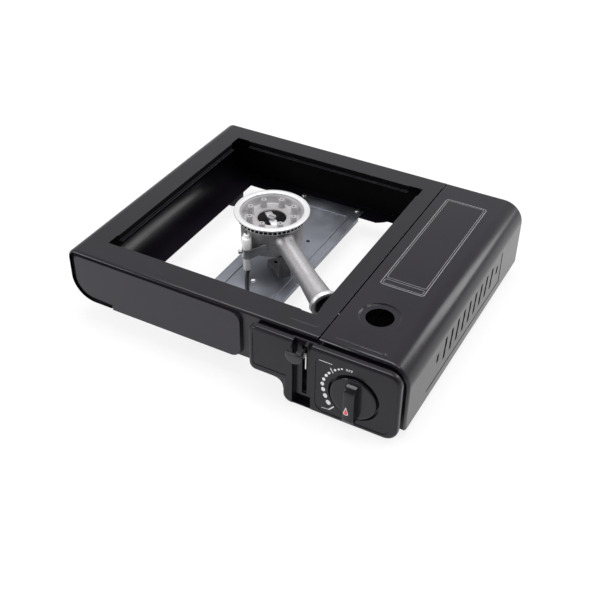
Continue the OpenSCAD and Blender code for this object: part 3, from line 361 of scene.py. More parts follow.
def worn_edges(nodes, links, broken):
    # a rounded normal differs from the true one only near an edge
    rounded = nodes.new("ShaderNodeBevel")
    rounded.samples = 4
    rounded.inputs["Radius"].default_value = RUB_RADIUS
    true_normal = nodes.new("ShaderNodeNewGeometry")
    turn = compare(nodes, links, rounded.outputs["Normal"], true_normal.outputs["Normal"])
    edge = remap(nodes, links, turn, 1.0, 0.0, 0.80, 0.995)
    patches = remap(nodes, links, broken, 0.0, 1.0, 0.45, 0.65)
    return calculate(nodes, links, "MULTIPLY", edge, patches)

def unshaded_side(nodes, links, middle):
    # 1 where the face looks away from the stove's middle, 0 inside a sheet, where shade is
    # painted
    place = nodes.new("ShaderNodeTexCoord").outputs
    away = wire(nodes, links, "ShaderNodeVectorMath", "SUBTRACT", (place["Object"], middle))[0]
    facing = compare(nodes, links, away, place["Normal"])
    unshaded = calculate(nodes, links, "GREATER_THAN", facing, 0.0)
    # ledges that face up catch the light too, so they get no painted shade
    upward = nodes.new("ShaderNodeSeparateXYZ")
    links.new(place["Normal"], upward.inputs[0])
    ledge = calculate(nodes, links, "GREATER_THAN", upward.outputs["Z"], LEDGE_TILT)
    return calculate(nodes, links, "MAXIMUM", unshaded, ledge)

print("edges are rubbed over", RUB_RADIUS * 1000, "mm")

# %% [markdown]
# ## Baked enamel and moulded plastic
# The sheet parts are sprayed and baked: a thin, dense coat with a faint orange peel. On the
# inside of a sheet the colour is painted near black as shade, and the coat is a little rougher
# and duller there. Handling rubs the coat paler along the edges. The plastic parts have the
# fine, even texture of a spark-eroded mould. One recipe serves both, with the colours,
# roughness and peel size passed in.

# %% Recipe for paint and plastic
CLOUDS, RUB_PATCHES = 18, 160                   # noise scales
ROUGH_SPREAD, PEEL_STRENGTH = 0.03, 0.35
# the inside of a sheet gets painted shade: a near-black colour, more roughness, less shine
INSIDE_SHADE_COLOUR, INSIDE_ROUGH, INSIDE_SHINE = (0.0008, 0.0008, 0.0011), 0.8, 0.3

def painted(name, dark, light, rough, peel_scale, peel_depth, worn=None, middle=None,
            shine=0.5):
    made, nodes, links, shader = new_material(name)
    shader.inputs["Specular IOR Level"].default_value = shine
    broad = grain(nodes, links, CLOUDS, 3)
    fine = grain(nodes, links, peel_scale, 2)
    colour = tint(nodes, links, broad, dark, light)
    roughness = remap(nodes, links, broad, rough - ROUGH_SPREAD, rough + ROUGH_SPREAD)
    if worn:
        edge = worn_edges(nodes, links, grain(nodes, links, RUB_PATCHES, 3))
        colour = blend_colour(nodes, links, edge, colour, worn)
    if middle:
        # painted shade on the inside of each sheet, with the up-facing ledges left lit
        unshaded = unshaded_side(nodes, links, middle)
        colour = blend_colour(nodes, links, unshaded, INSIDE_SHADE_COLOUR, colour)
        links.new(remap(nodes, links, unshaded, shine * INSIDE_SHINE, shine),
                  shader.inputs["Specular IOR Level"])
        shade_share = calculate(nodes, links, "SUBTRACT", 1.0, unshaded)
        roughness = calculate(nodes, links, "MAXIMUM", roughness,
                              calculate(nodes, links, "MULTIPLY", shade_share, INSIDE_ROUGH))
    links.new(colour, shader.inputs["Base Color"])
    links.new(roughness, shader.inputs["Roughness"])
    relief(nodes, links, shader, fine, peel_depth, PEEL_STRENGTH)
    return made

print("inside of the sheets: roughness", INSIDE_ROUGH)

# %% Painted and moulded finishes
RUBBED, RUBBED_PLASTIC = (0.040, 0.038, 0.043), (0.022, 0.021, 0.024)
BODY_MIDDLE = (-0.045, 0.0105, 0.045)
CASE_MIDDLE = (0.120, 0.0105, 0.030)
enamel = painted("black_enamel", (0.0042, 0.0030, 0.0060), (0.0062, 0.0047, 0.0084), 0.30,
                 900, 0.00002, RUBBED, BODY_MIDDLE, shine=0.36)
lid_enamel = painted("lid_enamel", (0.0043, 0.0029, 0.0064), (0.0063, 0.0046, 0.0088), 0.23,
                     900, 0.00002, RUBBED, CASE_MIDDLE, shine=0.38)
panel_enamel = painted("panel_enamel", (0.0110, 0.0088, 0.0148), (0.0145, 0.0118, 0.0185),
                       0.36, 900, 0.00002, RUBBED, BODY_MIDDLE, shine=0.42)
inside_enamel = painted("inside_enamel", (0.0200, 0.0185, 0.0215), (0.0270, 0.0250, 0.0285),
                        0.6, 700, 0.00003, shine=0.3)
# the burner support sits in shadow under the burner; its colour is lightened as painted light
support_painted_light = painted("support_painted_light", (0.085, 0.082, 0.088), (0.115, 0.112, 0.120), 0.5,
                         700, 0.00003, shine=0.4)
plastic = painted("black_plastic", (0.0056, 0.0042, 0.0076), (0.0079, 0.0062, 0.0100), 0.24,
                  1800, 0.00002, RUBBED_PLASTIC, shine=0.30)
knob_plastic = painted("knob_plastic", (0.0046, 0.0034, 0.0064), (0.0066, 0.0051, 0.0086),
                       0.17, 1800, 0.00001, RUBBED_PLASTIC, shine=0.34)
# the lever pad's face is a lighter copy of the black plastic: painted light for the light it
# catches
lit_pad_plastic = painted("lever_plastic", (0.0160, 0.0140, 0.0180), (0.0210, 0.0190, 0.0230),
                      0.36, 1800, 0.00002, (0.030, 0.029, 0.032), shine=0.4)
rubber = painted("foot_rubber", (0.010, 0.010, 0.011), (0.016, 0.016, 0.017), 0.75,
                 1200, 0.00005)
wire_sleeve = painted("wire_sleeve", (0.006, 0.006, 0.007), (0.010, 0.010, 0.011), 0.42,
                      1400, 0.00002)
white_plastic = painted("white_plastic", (0.62, 0.61, 0.58), (0.68, 0.67, 0.64), 0.35,
                        900, 0.00002)
ceramic = painted("glazed_ceramic", (0.90, 0.895, 0.89), (0.95, 0.945, 0.94), 0.18,
                  500, 0.00002)
print("painted finishes:", [m.name for m in (enamel, panel_enamel, plastic, ceramic)])

# %% [markdown]
# ## Metals
# The burner is die-cast aluminium: grey, slightly grainy and matt. Its ring and dish are
# turned after casting and brighter. The bar across the bottom and the heat shield are
# galvanised steel, bluish, with soft clouds of zinc. The heat shield and the gas pipe are
# painted darker, as shade. A metal is described by its own reflectance as base colour, with
# Metallic at or near 1, and by how rough and cloudy it is.

# %% Metal finishes
CLOUD_SHARE, BROAD_SHARE = 0.6, 0.4
BROAD_CLOUDS, GRAIN_STRENGTH = 25, 0.4

def metal(name, dark, light, rough, scale, depth, stretch=(1, 1, 1), spread=0.05, shine=1.0):
    made, nodes, links, shader = new_material(name)
    cloud = grain(nodes, links, scale, 4, stretch)
    broad = grain(nodes, links, BROAD_CLOUDS, 2)
    mixed = calculate(nodes, links, "ADD",
                      calculate(nodes, links, "MULTIPLY", cloud, CLOUD_SHARE),
                      calculate(nodes, links, "MULTIPLY", broad, BROAD_SHARE))
    links.new(tint(nodes, links, mixed, dark, light), shader.inputs["Base Color"])
    links.new(remap(nodes, links, mixed, rough - spread, rough + spread),
              shader.inputs["Roughness"])
    relief(nodes, links, shader, cloud, depth, GRAIN_STRENGTH)
    shader.inputs["Metallic"].default_value = shine
    return made

cast_alloy = metal("cast_alloy", (0.34, 0.33, 0.345), (0.50, 0.49, 0.505), 0.52, 520, 0.00006)
bright_alloy = metal("bright_alloy", (0.66, 0.655, 0.67), (0.76, 0.755, 0.77), 0.46,
                     500, 0.00001, shine=0.75)
dish_alloy = metal("dish_alloy", (0.42, 0.41, 0.42), (0.50, 0.49, 0.50), 0.68,
                   420, 0.00002, shine=0.8)
plain_steel = metal("plain_steel", (0.42, 0.42, 0.43), (0.52, 0.52, 0.53), 0.36,
                    500, 0.00001, (1, 1, 6))
# bright steel that stands in for a glint: a painted highlight beside the lever slot
glint_steel = metal("glint_steel", (0.70, 0.70, 0.71), (0.80, 0.80, 0.81), 0.32, 500, 0.00001)
dark_steel = metal("dark_steel", (0.020, 0.020, 0.022), (0.035, 0.035, 0.038), 0.45,
                   500, 0.00001)
# near-black painted shade for the vent rims, the seam's rear end and the ring's ports
painted_shade = painted("painted_shade", (0.0040, 0.0038, 0.0040), (0.0080, 0.0076, 0.0080), 0.8,
               600, 0.00002, shine=0.2)
# the gas pipe's copper is painted dark as shade, where it shows in the seam
shaded_copper = metal("shaded_copper", (0.030, 0.018, 0.012), (0.060, 0.034, 0.022), 0.5,
                    400, 0.00001)
# the heat shield's zinc is painted dark as shade
shaded_zinc = metal("shaded_zinc", (0.050, 0.052, 0.058), (0.080, 0.083, 0.090), 0.55, 45, 0.00001)
zinc = metal("galvanised_sheet", (0.250, 0.262, 0.300), (0.340, 0.355, 0.400), 0.50,
             45, 0.00001, spread=0.08)
print("metals:", [m.name for m in (cast_alloy, bright_alloy, plain_steel, shaded_copper, zinc)])

# %% Hand the finishes out
FINISH = {
    "body_shell": enamel, "lid": lid_enamel, "front_panel": panel_enamel,
    "rear_panel": enamel, "canister_tray": inside_enamel, "canister_cradle": inside_enamel,
    "burner_support": support_painted_light, "hinge_rod": dark_steel, "control_panel": plastic,
    "knob": plastic, "lever_grip": plastic, "piezo_igniter": plastic,
    "igniter_plunger": white_plastic, "left_feet": rubber, "right_feet": rubber,
    "socket_seal": rubber, "ignition_cable": wire_sleeve, "electrode_insulator": ceramic,
    "crossbar": zinc, "heat_shield": shaded_zinc, "pusher_carriage": zinc,
    "burner_casting": cast_alloy, "regulator_body": cast_alloy, "nozzle_bracket": cast_alloy,
    "burner_ring": bright_alloy, "burner_dish": dish_alloy, "spider_bar": dish_alloy,
    "regulator_cover": bright_alloy, "gas_pipe": shaded_copper,
}

WELD_GAP = 0.000002

def soften(solid, width, segments=2, angle=32):
    # real edges are never sharp: a narrow bevel gives each one its line of light
    weld = solid.modifiers.new("weld", "WELD")
    weld.merge_threshold = WELD_GAP
    bevel = solid.modifiers.new("edge", "BEVEL")
    bevel.width = width
    bevel.segments = segments
    bevel.limit_method = "ANGLE"
    bevel.angle_limit = math.radians(angle)
    bevel.use_clamp_overlap = True
    bevel.harden_normals = True

PLAIN_EDGE = 0.0002
EDGE = {"control_panel": 0.0004, "knob": 0.0010, "lever_grip": 0.0008, "burner_casting": 0.0005,
        "front_panel": 0.0003, "body_shell": 0.00025, "lid": 0.00025}
for name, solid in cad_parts.items():
    solid.data.materials.clear()
    solid.data.materials.append(FINISH.get(name, plain_steel))
    soften(solid, EDGE.get(name, PLAIN_EDGE))
print("finished nodes:", len(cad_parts))

# %% [markdown]
# ## Printed marks
# The dial and the lid carry thin white pad printing. A picture texture would need
# unwrapping, and a decal floating in front can flicker. So each mark is a real film of
# ink, an outline raised by a few hundredths of a millimetre. Outlines are drawn flat in
# millimetres, as lists of points across and upward, and a helper stands them on a face.

# %% Helper for films of ink
FILM_ROOT, FILM_THICK = 0.02, 0.04              # below and above the face it lies on

def film(name, shapes, origin, across, upward, thick=FILM_THICK):
    """Each shape is an outer outline, or an outer and an inner one of equal length."""
    out = Vector(across).cross(Vector(upward))
    origin, across, upward = Vector(origin), Vector(across), Vector(upward)
    made = bmesh.new()

    def lay(outline, height):
        return [made.verts.new((origin + across * p[0] + upward * p[1] + out * height) * MM)
                for p in outline]

    for shape in shapes:
        outer, inner = shape if isinstance(shape, tuple) else (shape, None)
        low, high = lay(outer, -FILM_ROOT), lay(outer, thick)
        bridge(made, low, high)
        if inner is None:
            made.faces.new(high)
            made.faces.new(low[::-1])
            continue
        low_in, high_in = lay(inner, -FILM_ROOT), lay(inner, thick)
        bridge(made, low_in[::-1], high_in[::-1])
        for i in range(len(outer)):
            j = (i + 1) % len(outer)
            made.faces.new((high[i], high[j], high_in[j], high_in[i]))
            made.faces.new((low[j], low[i], low_in[i], low_in[j]))
    bmesh.ops.recalc_face_normals(made, faces=made.faces)
    return new_piece(name, made)

print("a film of ink is", FILM_THICK, "mm thick")

# %% Outlines of the marks
SMALLEST_CORNER = 0.2

def oval(cx, cy, a, b, turn=0.0, count=20):
    cos, sin = math.cos(turn), math.sin(turn)
    rim = [(a * math.cos(t), b * math.sin(t)) for t in circle_angles(count)]
    return [(cx + x * cos - y * sin, cy + x * sin + y * cos) for x, y in rim]

def stroke(x0, y0, x1, y1, width):
    length = math.hypot(x1 - x0, y1 - y0)
    nx, ny = -(y1 - y0) / length * width / 2, (x1 - x0) / length * width / 2
    return [(x0 - nx, y0 - ny), (x1 - nx, y1 - ny), (x1 + nx, y1 + ny), (x0 + nx, y0 + ny)]

def rounded_box(x0, y0, x1, y1, radius, steps=6):
    corners = [(x1 - radius, y0 + radius, -90), (x1 - radius, y1 - radius, 0),
               (x0 + radius, y1 - radius, 90), (x0 + radius, y0 + radius, 180)]
    return [(cx + radius * math.cos(math.radians(start + 90 * k / steps)),
             cy + radius * math.sin(math.radians(start + 90 * k / steps)))
            for cx, cy, start in corners for k in range(steps + 1)]

def frame_line(x0, y0, x1, y1, radius, width):
    return (rounded_box(x0, y0, x1, y1, radius),
            rounded_box(x0 + width, y0 + width, x1 - width, y1 - width,
                        max(radius - width, SMALLEST_CORNER)))

print("points in an oval:", len(oval(0, 0, 1, 1)))

# %% Ink
SPECKLE = 1500                                  # noise scale

def ink(name, dark, light):
    made, nodes, links, shader = new_material(name)
    speckle = grain(nodes, links, SPECKLE, 3)
    links.new(tint(nodes, links, speckle, dark, light), shader.inputs["Base Color"])
    links.new(remap(nodes, links, speckle, 0.5, 0.62), shader.inputs["Roughness"])
    return made

white_ink = ink("white_ink", (0.50, 0.49, 0.50), (0.72, 0.71, 0.72))
lid_ink = ink("lid_ink", (0.15, 0.145, 0.155), (0.24, 0.235, 0.245))
red_ink = ink("red_ink", (0.52, 0.045, 0.045), (0.62, 0.070, 0.065))
print("inks:", [m.name for m in (white_ink, lid_ink, red_ink)])

# %% Marks of the dial
DIAL = (126.9, 36.0)                            # middle of the dial: across, up
PLATE_Y = -139.0                                # face of the sunk plate
FRONTWARD = {"across": (1, 0, 0), "upward": (0, 0, 1)}
DOT_ROW = 29.4                                  # radius of the row of dots
FIRST_DOT, DOT_GROWTH = 0.86, 0.155
DOT_ANGLES = [115.5, 121.6, 129.0, 143.7, 152.3, 162.8, 173.6, 185.0, 197.4, 211.3]
DOT_SHIFTS = [1.1, 1.1, 1.0, 0.9, 0.7, 0.6, 0.6, 1.6, 2.4, 2.5]   # the row isn't a true circle

marks = []
for step, (angle, shift) in enumerate(zip(DOT_ANGLES, DOT_SHIFTS)):
    size = FIRST_DOT + DOT_GROWTH * step
    turn = math.radians(angle)
    x, z = DIAL[0] + DOT_ROW * math.cos(turn), DIAL[1] + DOT_ROW * math.sin(turn)
    marks.append(oval(x + shift, z, size * 0.92, size * 1.12, turn))
marks.append(stroke(105.2, 59.2, 107.7, 54.8, 0.85))       # the tick after the third dot
marks.append(stroke(105.1, 13.0, 109.6, 18.3, 1.15))       # the tick at the end of the row
marks.append(stroke(94.6, 63.65, 106.6, 63.65, 0.55))      # thin lines at top and bottom left
marks.append(stroke(98.2, 12.5, 105.1, 13.0, 0.5))
marks.append((oval(119.2 + 0.75, 63.4, 0.9, 1.2), oval(119.2 + 0.75, 63.4, 0.5, 0.8)))    # O
for x in (121.5, 123.6):                                                             # F and F
    marks.append(stroke(x + 0.2, 62.2, x + 0.2, 64.6, 0.45))
    marks.append(stroke(x + 0.43, 64.4, x + 1.6, 64.4, 0.4))
    marks.append(stroke(x + 0.43, 63.4, x + 1.3, 63.4, 0.4))
dial_marks = film("dial_marks", marks, (0, PLATE_Y, 0), **FRONTWARD)
finish_piece(dial_marks, white_ink, "frame")
print("dial marks:", len(marks))

# %% Frame on the lid
SHEET_TOP = 76.0                                # height of the lid and of the top sheet
lid_lines = [frame_line(99.6, -36.4, 141.2, 121.0, 3.0, 0.7),
             frame_line(101.6, -25.5, 139.2, 119.0, 1.8, 0.45),
             frame_line(101.6, -34.4, 139.2, -27.6, 1.8, 0.45)]
lid_frame = film("lid_frame", lid_lines, (0, 0, SHEET_TOP), (1, 0, 0), (0, 1, 0))
finish_piece(lid_frame, lid_ink, "lid")
say_size("lid frame", lid_frame)

# %% [markdown]
# ## Vents of the lid
# The slots in the lid's side are stamped, and the punch drags their rims inward, so each
# one looks wider and darker than its opening, as the rims lie in shade. A narrow rim of
# painted shade round each opening gives that look. The slot shape is a long bar with a
# slight bend in its middle.

# %% Painted shade round the vents
VENT_HALF, VENT_RIM, RIM_LONGER, RIM_THICK = 1.4, 0.95, 1.6, 0.01
VENT_FIRST, VENT_PITCH, VENT_LENGTH, VENT_COUNT = -47.9, 14.3, 20.0, 9
VENT_BEND = [(-0.10, -0.5), (-0.06, -0.36), (-0.045, -0.08), (0.03, 0.1), (0.045, 0.36),
             (0.07, 0.5)]
vents = [(VENT_FIRST + VENT_PITCH * i, 39.8, VENT_LENGTH) for i in range(VENT_COUNT)]
vents += [(VENT_FIRST - 1.2 * VENT_PITCH, 41.0, VENT_LENGTH / 3),
          (VENT_FIRST + 9.05 * VENT_PITCH, 40.0, VENT_LENGTH / 3)]

def vent_outline(y, z, length, half, longer=0.0):
    low = [(y + b * length - half, z + u * (length + longer)) for b, u in VENT_BEND]
    high = [(y + b * length + half, z + u * (length + longer)) for b, u in reversed(VENT_BEND)]
    return low + high

# a ray from outside, aimed between two vents, finds the face of the lid's side
lid_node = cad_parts["lid"]
outside_point = lid_node.matrix_world.inverted() @ (Vector((200, -40.7, 40)) * MM)
spot = lid_node.ray_cast(outside_point, Vector((-1, 0, 0)))[1]
SIDE_X = (lid_node.matrix_world @ spot).x / MM
# each rim round an opening is painted shade
rims = [(vent_outline(y, z, length, VENT_HALF + VENT_RIM, RIM_LONGER),
         vent_outline(y, z, length, VENT_HALF)) for y, z, length in vents]
vent_shade_rims = film("vent_shade_rims", rims, (SIDE_X, 0, 0), (0, 1, 0), (0, 0, 1), thick=RIM_THICK)
finish_piece(vent_shade_rims, painted_shade, "lid")
print("lid side at", round(SIDE_X, 3), "vents:", len(vents))

# %% [markdown]
# ## Knob
# The knob is a moulded disc with a grip bar across it. The bar's upper end is scooped for
# the thumb and then rises a little before it meets the disc. Boolean cutting would leave
# facets in the scoop, so the bar is lofted: one rounded section, repeated at many heights,
# and pushed back by a smooth curve through a few measured depths.

# %% Smooth curve through points
def smooth_curve(points, x):
    """Catmull-Rom value at x through (x, y) points in rising order."""
    last = len(points) - 1
    k = max(i for i in range(last) if points[i][0] <= x or i == 0)
    x0, y0 = points[k]
    x1, y1 = points[k + 1]
    before, after = points[max(k - 1, 0)], points[min(k + 2, last)]
    t = min(max((x - x0) / (x1 - x0), 0), 1)
    slope0 = (y1 - before[1]) / (x1 - before[0]) * (x1 - x0)
    slope1 = (after[1] - y0) / (after[0] - x0) * (x1 - x0)
    return ((2 * t**3 - 3 * t**2 + 1) * y0 + (t**3 - 2 * t**2 + t) * slope0
            + (3 * t**2 - 2 * t**3) * y1 + (t**3 - t**2) * slope1)

print("halfway up a step from 0 to 1:", smooth_curve([(0, 0), (1, 1)], 0.5))

# %% Knob mesh
KNOB_R, KNOB_FRONT, DISC_FACE, DISC_BACK = 21.0, -149.5, -141.1, -135.5
BACK_ROUND, FACE_ROUND = 0.6, 1.4               # radii of the disc's two edges
GRIP_BASE, GRIP_LOW, GRIP_SPAN, GRIP_STEPS = -139.5, -20.6, 40.8, 96
GRIP_HALF, GRIP_SOFT, GRIP_LEAN = 5.4, 1.3, 0.05
GRIP_DEPTH = [(-20.6, 6.4), (-19.9, 8.6), (-18.0, 9.8), (-15.0, 9.9), (10.6, 9.9)]
GRIP_DEPTH += [(10.6 + 6.4 * math.sin(a), 3.3 + 6.6 * math.cos(a))
              for a in radians_of(12, 25, 38, 50, 61, 71, 80)]
GRIP_DEPTH += [(17.4, 3.0), (18.6, 2.3), (19.4, 1.9), (20.2, 1.7)]

def disc_rings():
    # from the back face to the middle of the front
    steps = [(KNOB_R - BACK_ROUND, DISC_BACK), (KNOB_R, DISC_BACK - BACK_ROUND),
             (KNOB_R, DISC_FACE + FACE_ROUND)]
    steps += [(KNOB_R - FACE_ROUND * (1 - math.cos(a)),
               DISC_FACE + FACE_ROUND * (1 - math.sin(a))) for a in radians_of(22, 45, 68, 90)]
    steps += [(KNOB_R - 4, DISC_FACE), (6, DISC_FACE)]
    return [[(DIAL[0] + r * math.cos(a), y, DIAL[1] + r * math.sin(a))
             for a in circle_angles(72)] for r, y in steps]

def bar_section(z):
    front = GRIP_BASE - smooth_curve(GRIP_DEPTH, z)
    room = max(DISC_FACE + 0.5 - front, 0.3)
    half = min(GRIP_HALF, math.sqrt(max(KNOB_R**2 - z * z, 4)) + 0.2)
    soft = min(GRIP_SOFT, room * 0.6)
    lean = GRIP_LEAN * room
    section = [(-half, DISC_FACE + 0.6), (-half + lean, front + soft)]
    section += [(-half + lean + soft * (1 - math.cos(a)), front + soft * (1 - math.sin(a)))
                for a in radians_of(30, 60, 90)]
    section += [(-x, y) for x, y in reversed(section)]
    return [(DIAL[0] + x, y, DIAL[1] + z) for x, y in section]

made = bmesh.new()
add_loft(made, disc_rings())
add_loft(made, [bar_section(GRIP_LOW + GRIP_SPAN * step / GRIP_STEPS)
                for step in range(GRIP_STEPS + 1)])
knob_moulding = mesh_piece("knob_moulding", made, 50)
finish_piece(knob_moulding, knob_plastic, "knob")
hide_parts("knob")
print("knob faces:", len(knob_moulding.data.polygons))

# %% [markdown]
# ## Flame mark
# A small flame is printed low on the bar. It's a drop: a half circle below and two curves
# that meet in a point above. The pale outline is the same drop, a little larger, laid
# first, with the red drop a hair in front of it.

# %% Flame mark on the bar
FLAME_X, FLAME_THICK = 125.3, 0.03

def drop(cx, cy, width, height, steps=14):
    r = width / 2
    base = [(cx + r * math.cos(a), cy + r + r * math.sin(a))
            for a in (math.pi + math.pi * k / steps for k in range(steps + 1))]
    right = [(cx + r * (1 - t) ** 0.8 * math.cos(0.5 * t), cy + r + (height - r) * t)
             for t in (k / steps for k in range(1, steps))]
    left = [(2 * cx - x, y) for x, y in reversed(right)]
    return base + right + [(cx, cy + height)] + left

flame_pale = film("flame_outline", [drop(FLAME_X, 24.6, 4.4, 8.8)],
                  (0, KNOB_FRONT + 0.1, 0), **FRONTWARD, thick=FLAME_THICK)
flame_red = film("flame_mark", [drop(FLAME_X, 25.2, 3.2, 6.8)],
                 (0, KNOB_FRONT + 0.06, 0), **FRONTWARD, thick=FLAME_THICK)
for piece, material in ((flame_pale, white_ink), (flame_red, red_ink)):
    finish_piece(piece, material, "knob")
say_size("flame mark", flame_pale)

# %% [markdown]
# ## Lever grip and its channel
# The lever ends in a half-round pad that is pressed down with a finger, with a sleeve
# behind it that takes the steel arm. The pad's face is painted lighter than the sleeve, as
# painted light. Its rim is rounded, so it's lofted from outlines that shrink a little at the
# front and back. A thin, bright steel strip beside the slot is a painted highlight for the
# glint of the steel arm there. Below the lever the channel turns inward and is closed by a
# small step, which lies in shadow.

# %% Lever grip
PAD_X, PAD_TOP, PAD_R, PAD_STRAIGHT = 74.7, 65.8, 8.1, 1.9
SLEEVE_FRONT, SLEEVE_LOW = -142.9, 66.0         # behind or above these it's the sleeve

def half_round(inset, y, steps=18):
    r = PAD_R - inset
    arc = [(PAD_X - r * math.cos(a), y, PAD_TOP - PAD_STRAIGHT - r * math.sin(a))
           for a in (math.pi * k / steps for k in range(steps + 1))]
    return [(PAD_X - r, y, PAD_TOP - inset)] + arc + [(PAD_X + r, y, PAD_TOP - inset)]

made = bmesh.new()
pad = [(1.1, -143.1), (0.3, -143.3), (0.0, -143.8), (0.0, -145.4), (0.25, -146.0),
       (0.8, -146.35), (1.6, -146.48)]          # how far the outline shrinks, and where
sleeve = [(76.9, 60.0), (81.5, 60.0), (81.5, 69.0), (76.9, 69.0)]
add_loft(made, [half_round(inset, y) for inset, y in pad])
add_loft(made, [[(x, y, z) for x, z in sleeve] for y in (-145.2, -140.6)])
lever_pad = mesh_piece("lever_pad", made, 50)
finish_piece(lever_pad, lit_pad_plastic, "lever")
# the pad's face keeps the painted-light plastic; the sleeve gets the plain black plastic
lever_pad.data.materials.append(plastic)
for face in lever_pad.data.polygons:
    if face.center.y * 1000 > SLEEVE_FRONT or face.center.z * 1000 > SLEEVE_LOW:
        face.material_index = 1
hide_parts("lever_grip")
print("lever pad faces:", len(lever_pad.data.polygons))

# %% Bright strip beside the lever slot, a painted glint
edge = [(80.45, 45.0), (81.35, 45.4), (81.4, 52.0), (81.4, 60.5), (81.0, 62.0), (80.6, 62.0),
        (80.5, 56.0), (80.4, 50.0)]
slot_glint = loft_piece("slot_glint", [[(x, y, z) for x, z in edge] for y in (-136.0, -134.55)])
finish_piece(slot_glint, glint_steel, "frame")
say_size("slot guide", slot_glint)

# %% Foot of the lever channel
step = [(-137.6, 3.9), (-137.6, 4.9), (-129.4, 4.9), (-129.4, 13.9), (-128.4, 13.9),
        (-128.4, 3.9)]
channel_foot = loft_piece("channel_foot", [[(x, y, z) for y, z in step] for x in (66.8, 87.4)])
finish_piece(channel_foot, plastic, "frame")
say_size("channel foot", channel_foot)

# %% [markdown]
# ## Pressed line on the top sheet
# A fine bead runs along the top sheet above the control panel and turns back beside the
# lid. It stiffens the thin sheet. It's a shallow curved strip that rises out of the sheet
# by a fraction of a millimetre, with the same enamel over it.

# %% Pressed bead
BEAD_WIDTH, BEAD_RISE, BEAD_ROOT = 1.8, 0.14, 0.06      # the root lies inside the sheet
TURN_X, TURN_Y, TURN_R = 82, -116, 4

def bead_rows(path):
    rows = []
    for i, (x, y) in enumerate(path):
        ahead, behind = path[min(i + 1, len(path) - 1)], path[max(i - 1, 0)]
        along = Vector((ahead[0] - behind[0], ahead[1] - behind[1])).normalized()
        side = Vector((-along.y, along.x))
        fade = min(i, len(path) - 1 - i, 3) / 3
        rows.append([(x + side.x * BEAD_WIDTH * u, y + side.y * BEAD_WIDTH * u,
                      SHEET_TOP - BEAD_ROOT
                      + (BEAD_RISE + BEAD_ROOT) * fade * math.cos(math.pi * u))
                     for u in (-0.5, -0.3, -0.1, 0.1, 0.3, 0.5)])
    return rows

corner = [(TURN_X - TURN_R + TURN_R * math.sin(a), TURN_Y + TURN_R - TURN_R * math.cos(a))
          for a in radians_of(*range(0, 91, 15))]
bead_path = ([(46 + 4 * k, -116.7 + 0.09 * k) for k in range(8)] + corner
             + [(TURN_X, -110), (TURN_X, -108), (TURN_X, -106)])
made = bmesh.new()
add_loft(made, bead_rows(bead_path), close_ends=False)
root_z = (SHEET_TOP - BEAD_ROOT) * MM
for face in [f for f in made.faces if f.calc_area() > 0
             and all(abs(v.co.z - root_z) < 1e-7 for v in f.verts)]:
    made.faces.remove(face)                     # faces that stay flat inside the sheet
pressed_line = mesh_piece("pressed_line", made, 60)
finish_piece(pressed_line, enamel, "frame")
print("pressed line points:", len(bead_path))

# %% [markdown]
# ## Burner dish and toothed ring
# The dish is pressed from one disc: a flat floor with an open middle, a smooth rounded wall
# up to the ring, and eight posts. The construction model steps the wall to keep it simple,
# so a turned profile takes its place here. The ring has a row of small teeth under its rim;
# the gaps between them are the flame ports, painted dark as shade because they lead inside.
# Both are lofted from profiles, the ring with every other slice cut back.

# %% Turned pieces
BURNER = (-35.5, 11.5)                          # middle of the burner

def turned(name, profile, count, notch=None, posts=()):
    """Profile points are (radius, height); a notch takes their place on every other slice."""
    made = bmesh.new()
    rings = []
    for k, a in enumerate(circle_angles(count)):
        used = notch if notch and (k // 2) % 2 else profile
        slice_points = [(BURNER[0] + r * math.cos(a), BURNER[1] + r * math.sin(a), z)
                        for r, z in used]
        rings.append([made.verts.new(Vector(p) * MM) for p in slice_points])
    for here, there in zip(rings, rings[1:] + rings[:1]):
        bridge(made, here, there)
    for post in posts:
        add_loft(made, post)
    return mesh_piece(name, made, 35)

print("middle of the burner:", BURNER)

# %% Dish with its posts
POST_ROW, POST_COUNT, FIRST_POST = 22.5, 8, 5   # radius of the row, posts, degrees
POST_PROFILE = [(3.2, 71.9), (3.0, 74.0), (2.9, 80.0), (2.6, 80.6), (2.1, 80.95),
                (1.5, 80.95), (1.1, 80.6), (1.0, 77.0)]
DISH_PROFILE = [
    (14.0, 73.4), (15.0, 72.9), (16.6, 72.25), (24.4, 72.2), (25.8, 72.45), (26.9, 73.2),
    (27.7, 74.6), (28.4, 76.4), (29.0, 78.2), (29.5, 79.6), (30.0, 79.98), (30.3, 79.8),
    (30.3, 75.98), (28.8, 75.98), (28.5, 74.8), (27.7, 73.0), (26.6, 71.7), (25.0, 71.05),
    (16.2, 71.05), (14.8, 71.5), (14.0, 72.1)]

def post_rings(angle):
    middle = (BURNER[0] + POST_ROW * math.cos(angle), BURNER[1] + POST_ROW * math.sin(angle))
    return upright_rings(middle, POST_PROFILE, 24)

post_angles = radians_of(*(FIRST_POST + 360 // POST_COUNT * k for k in range(POST_COUNT)))
smooth_dish = turned("pressed_dish", DISH_PROFILE, 96, posts=map(post_rings, post_angles))
finish_piece(smooth_dish, dish_alloy, "frame")
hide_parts("burner_dish")
print("dish faces:", len(smooth_dish.data.polygons))

# %% Toothed ring
TOOTH_R, GAP_R = 33.4, 31.3
GAP_INNER, GAP_OUTER, GAP_LOW, GAP_HIGH = 30.8, 33.3, 75.05, 78.75

def ring_profile(wall):
    return [(29.0, 74.0), (32.5, 74.0), (32.9, 75.0), (wall, 75.1), (wall, 78.6), (34.5, 78.8),
            (35.3, 79.6), (36.2, 80.4), (36.5, 81.0), (36.3, 81.6), (35.7, 82.0), (34.2, 82.2),
            (32.5, 82.2), (31.2, 81.9), (30.6, 81.3), (30.5, 80.6), (30.5, 75.9), (29.0, 75.9)]

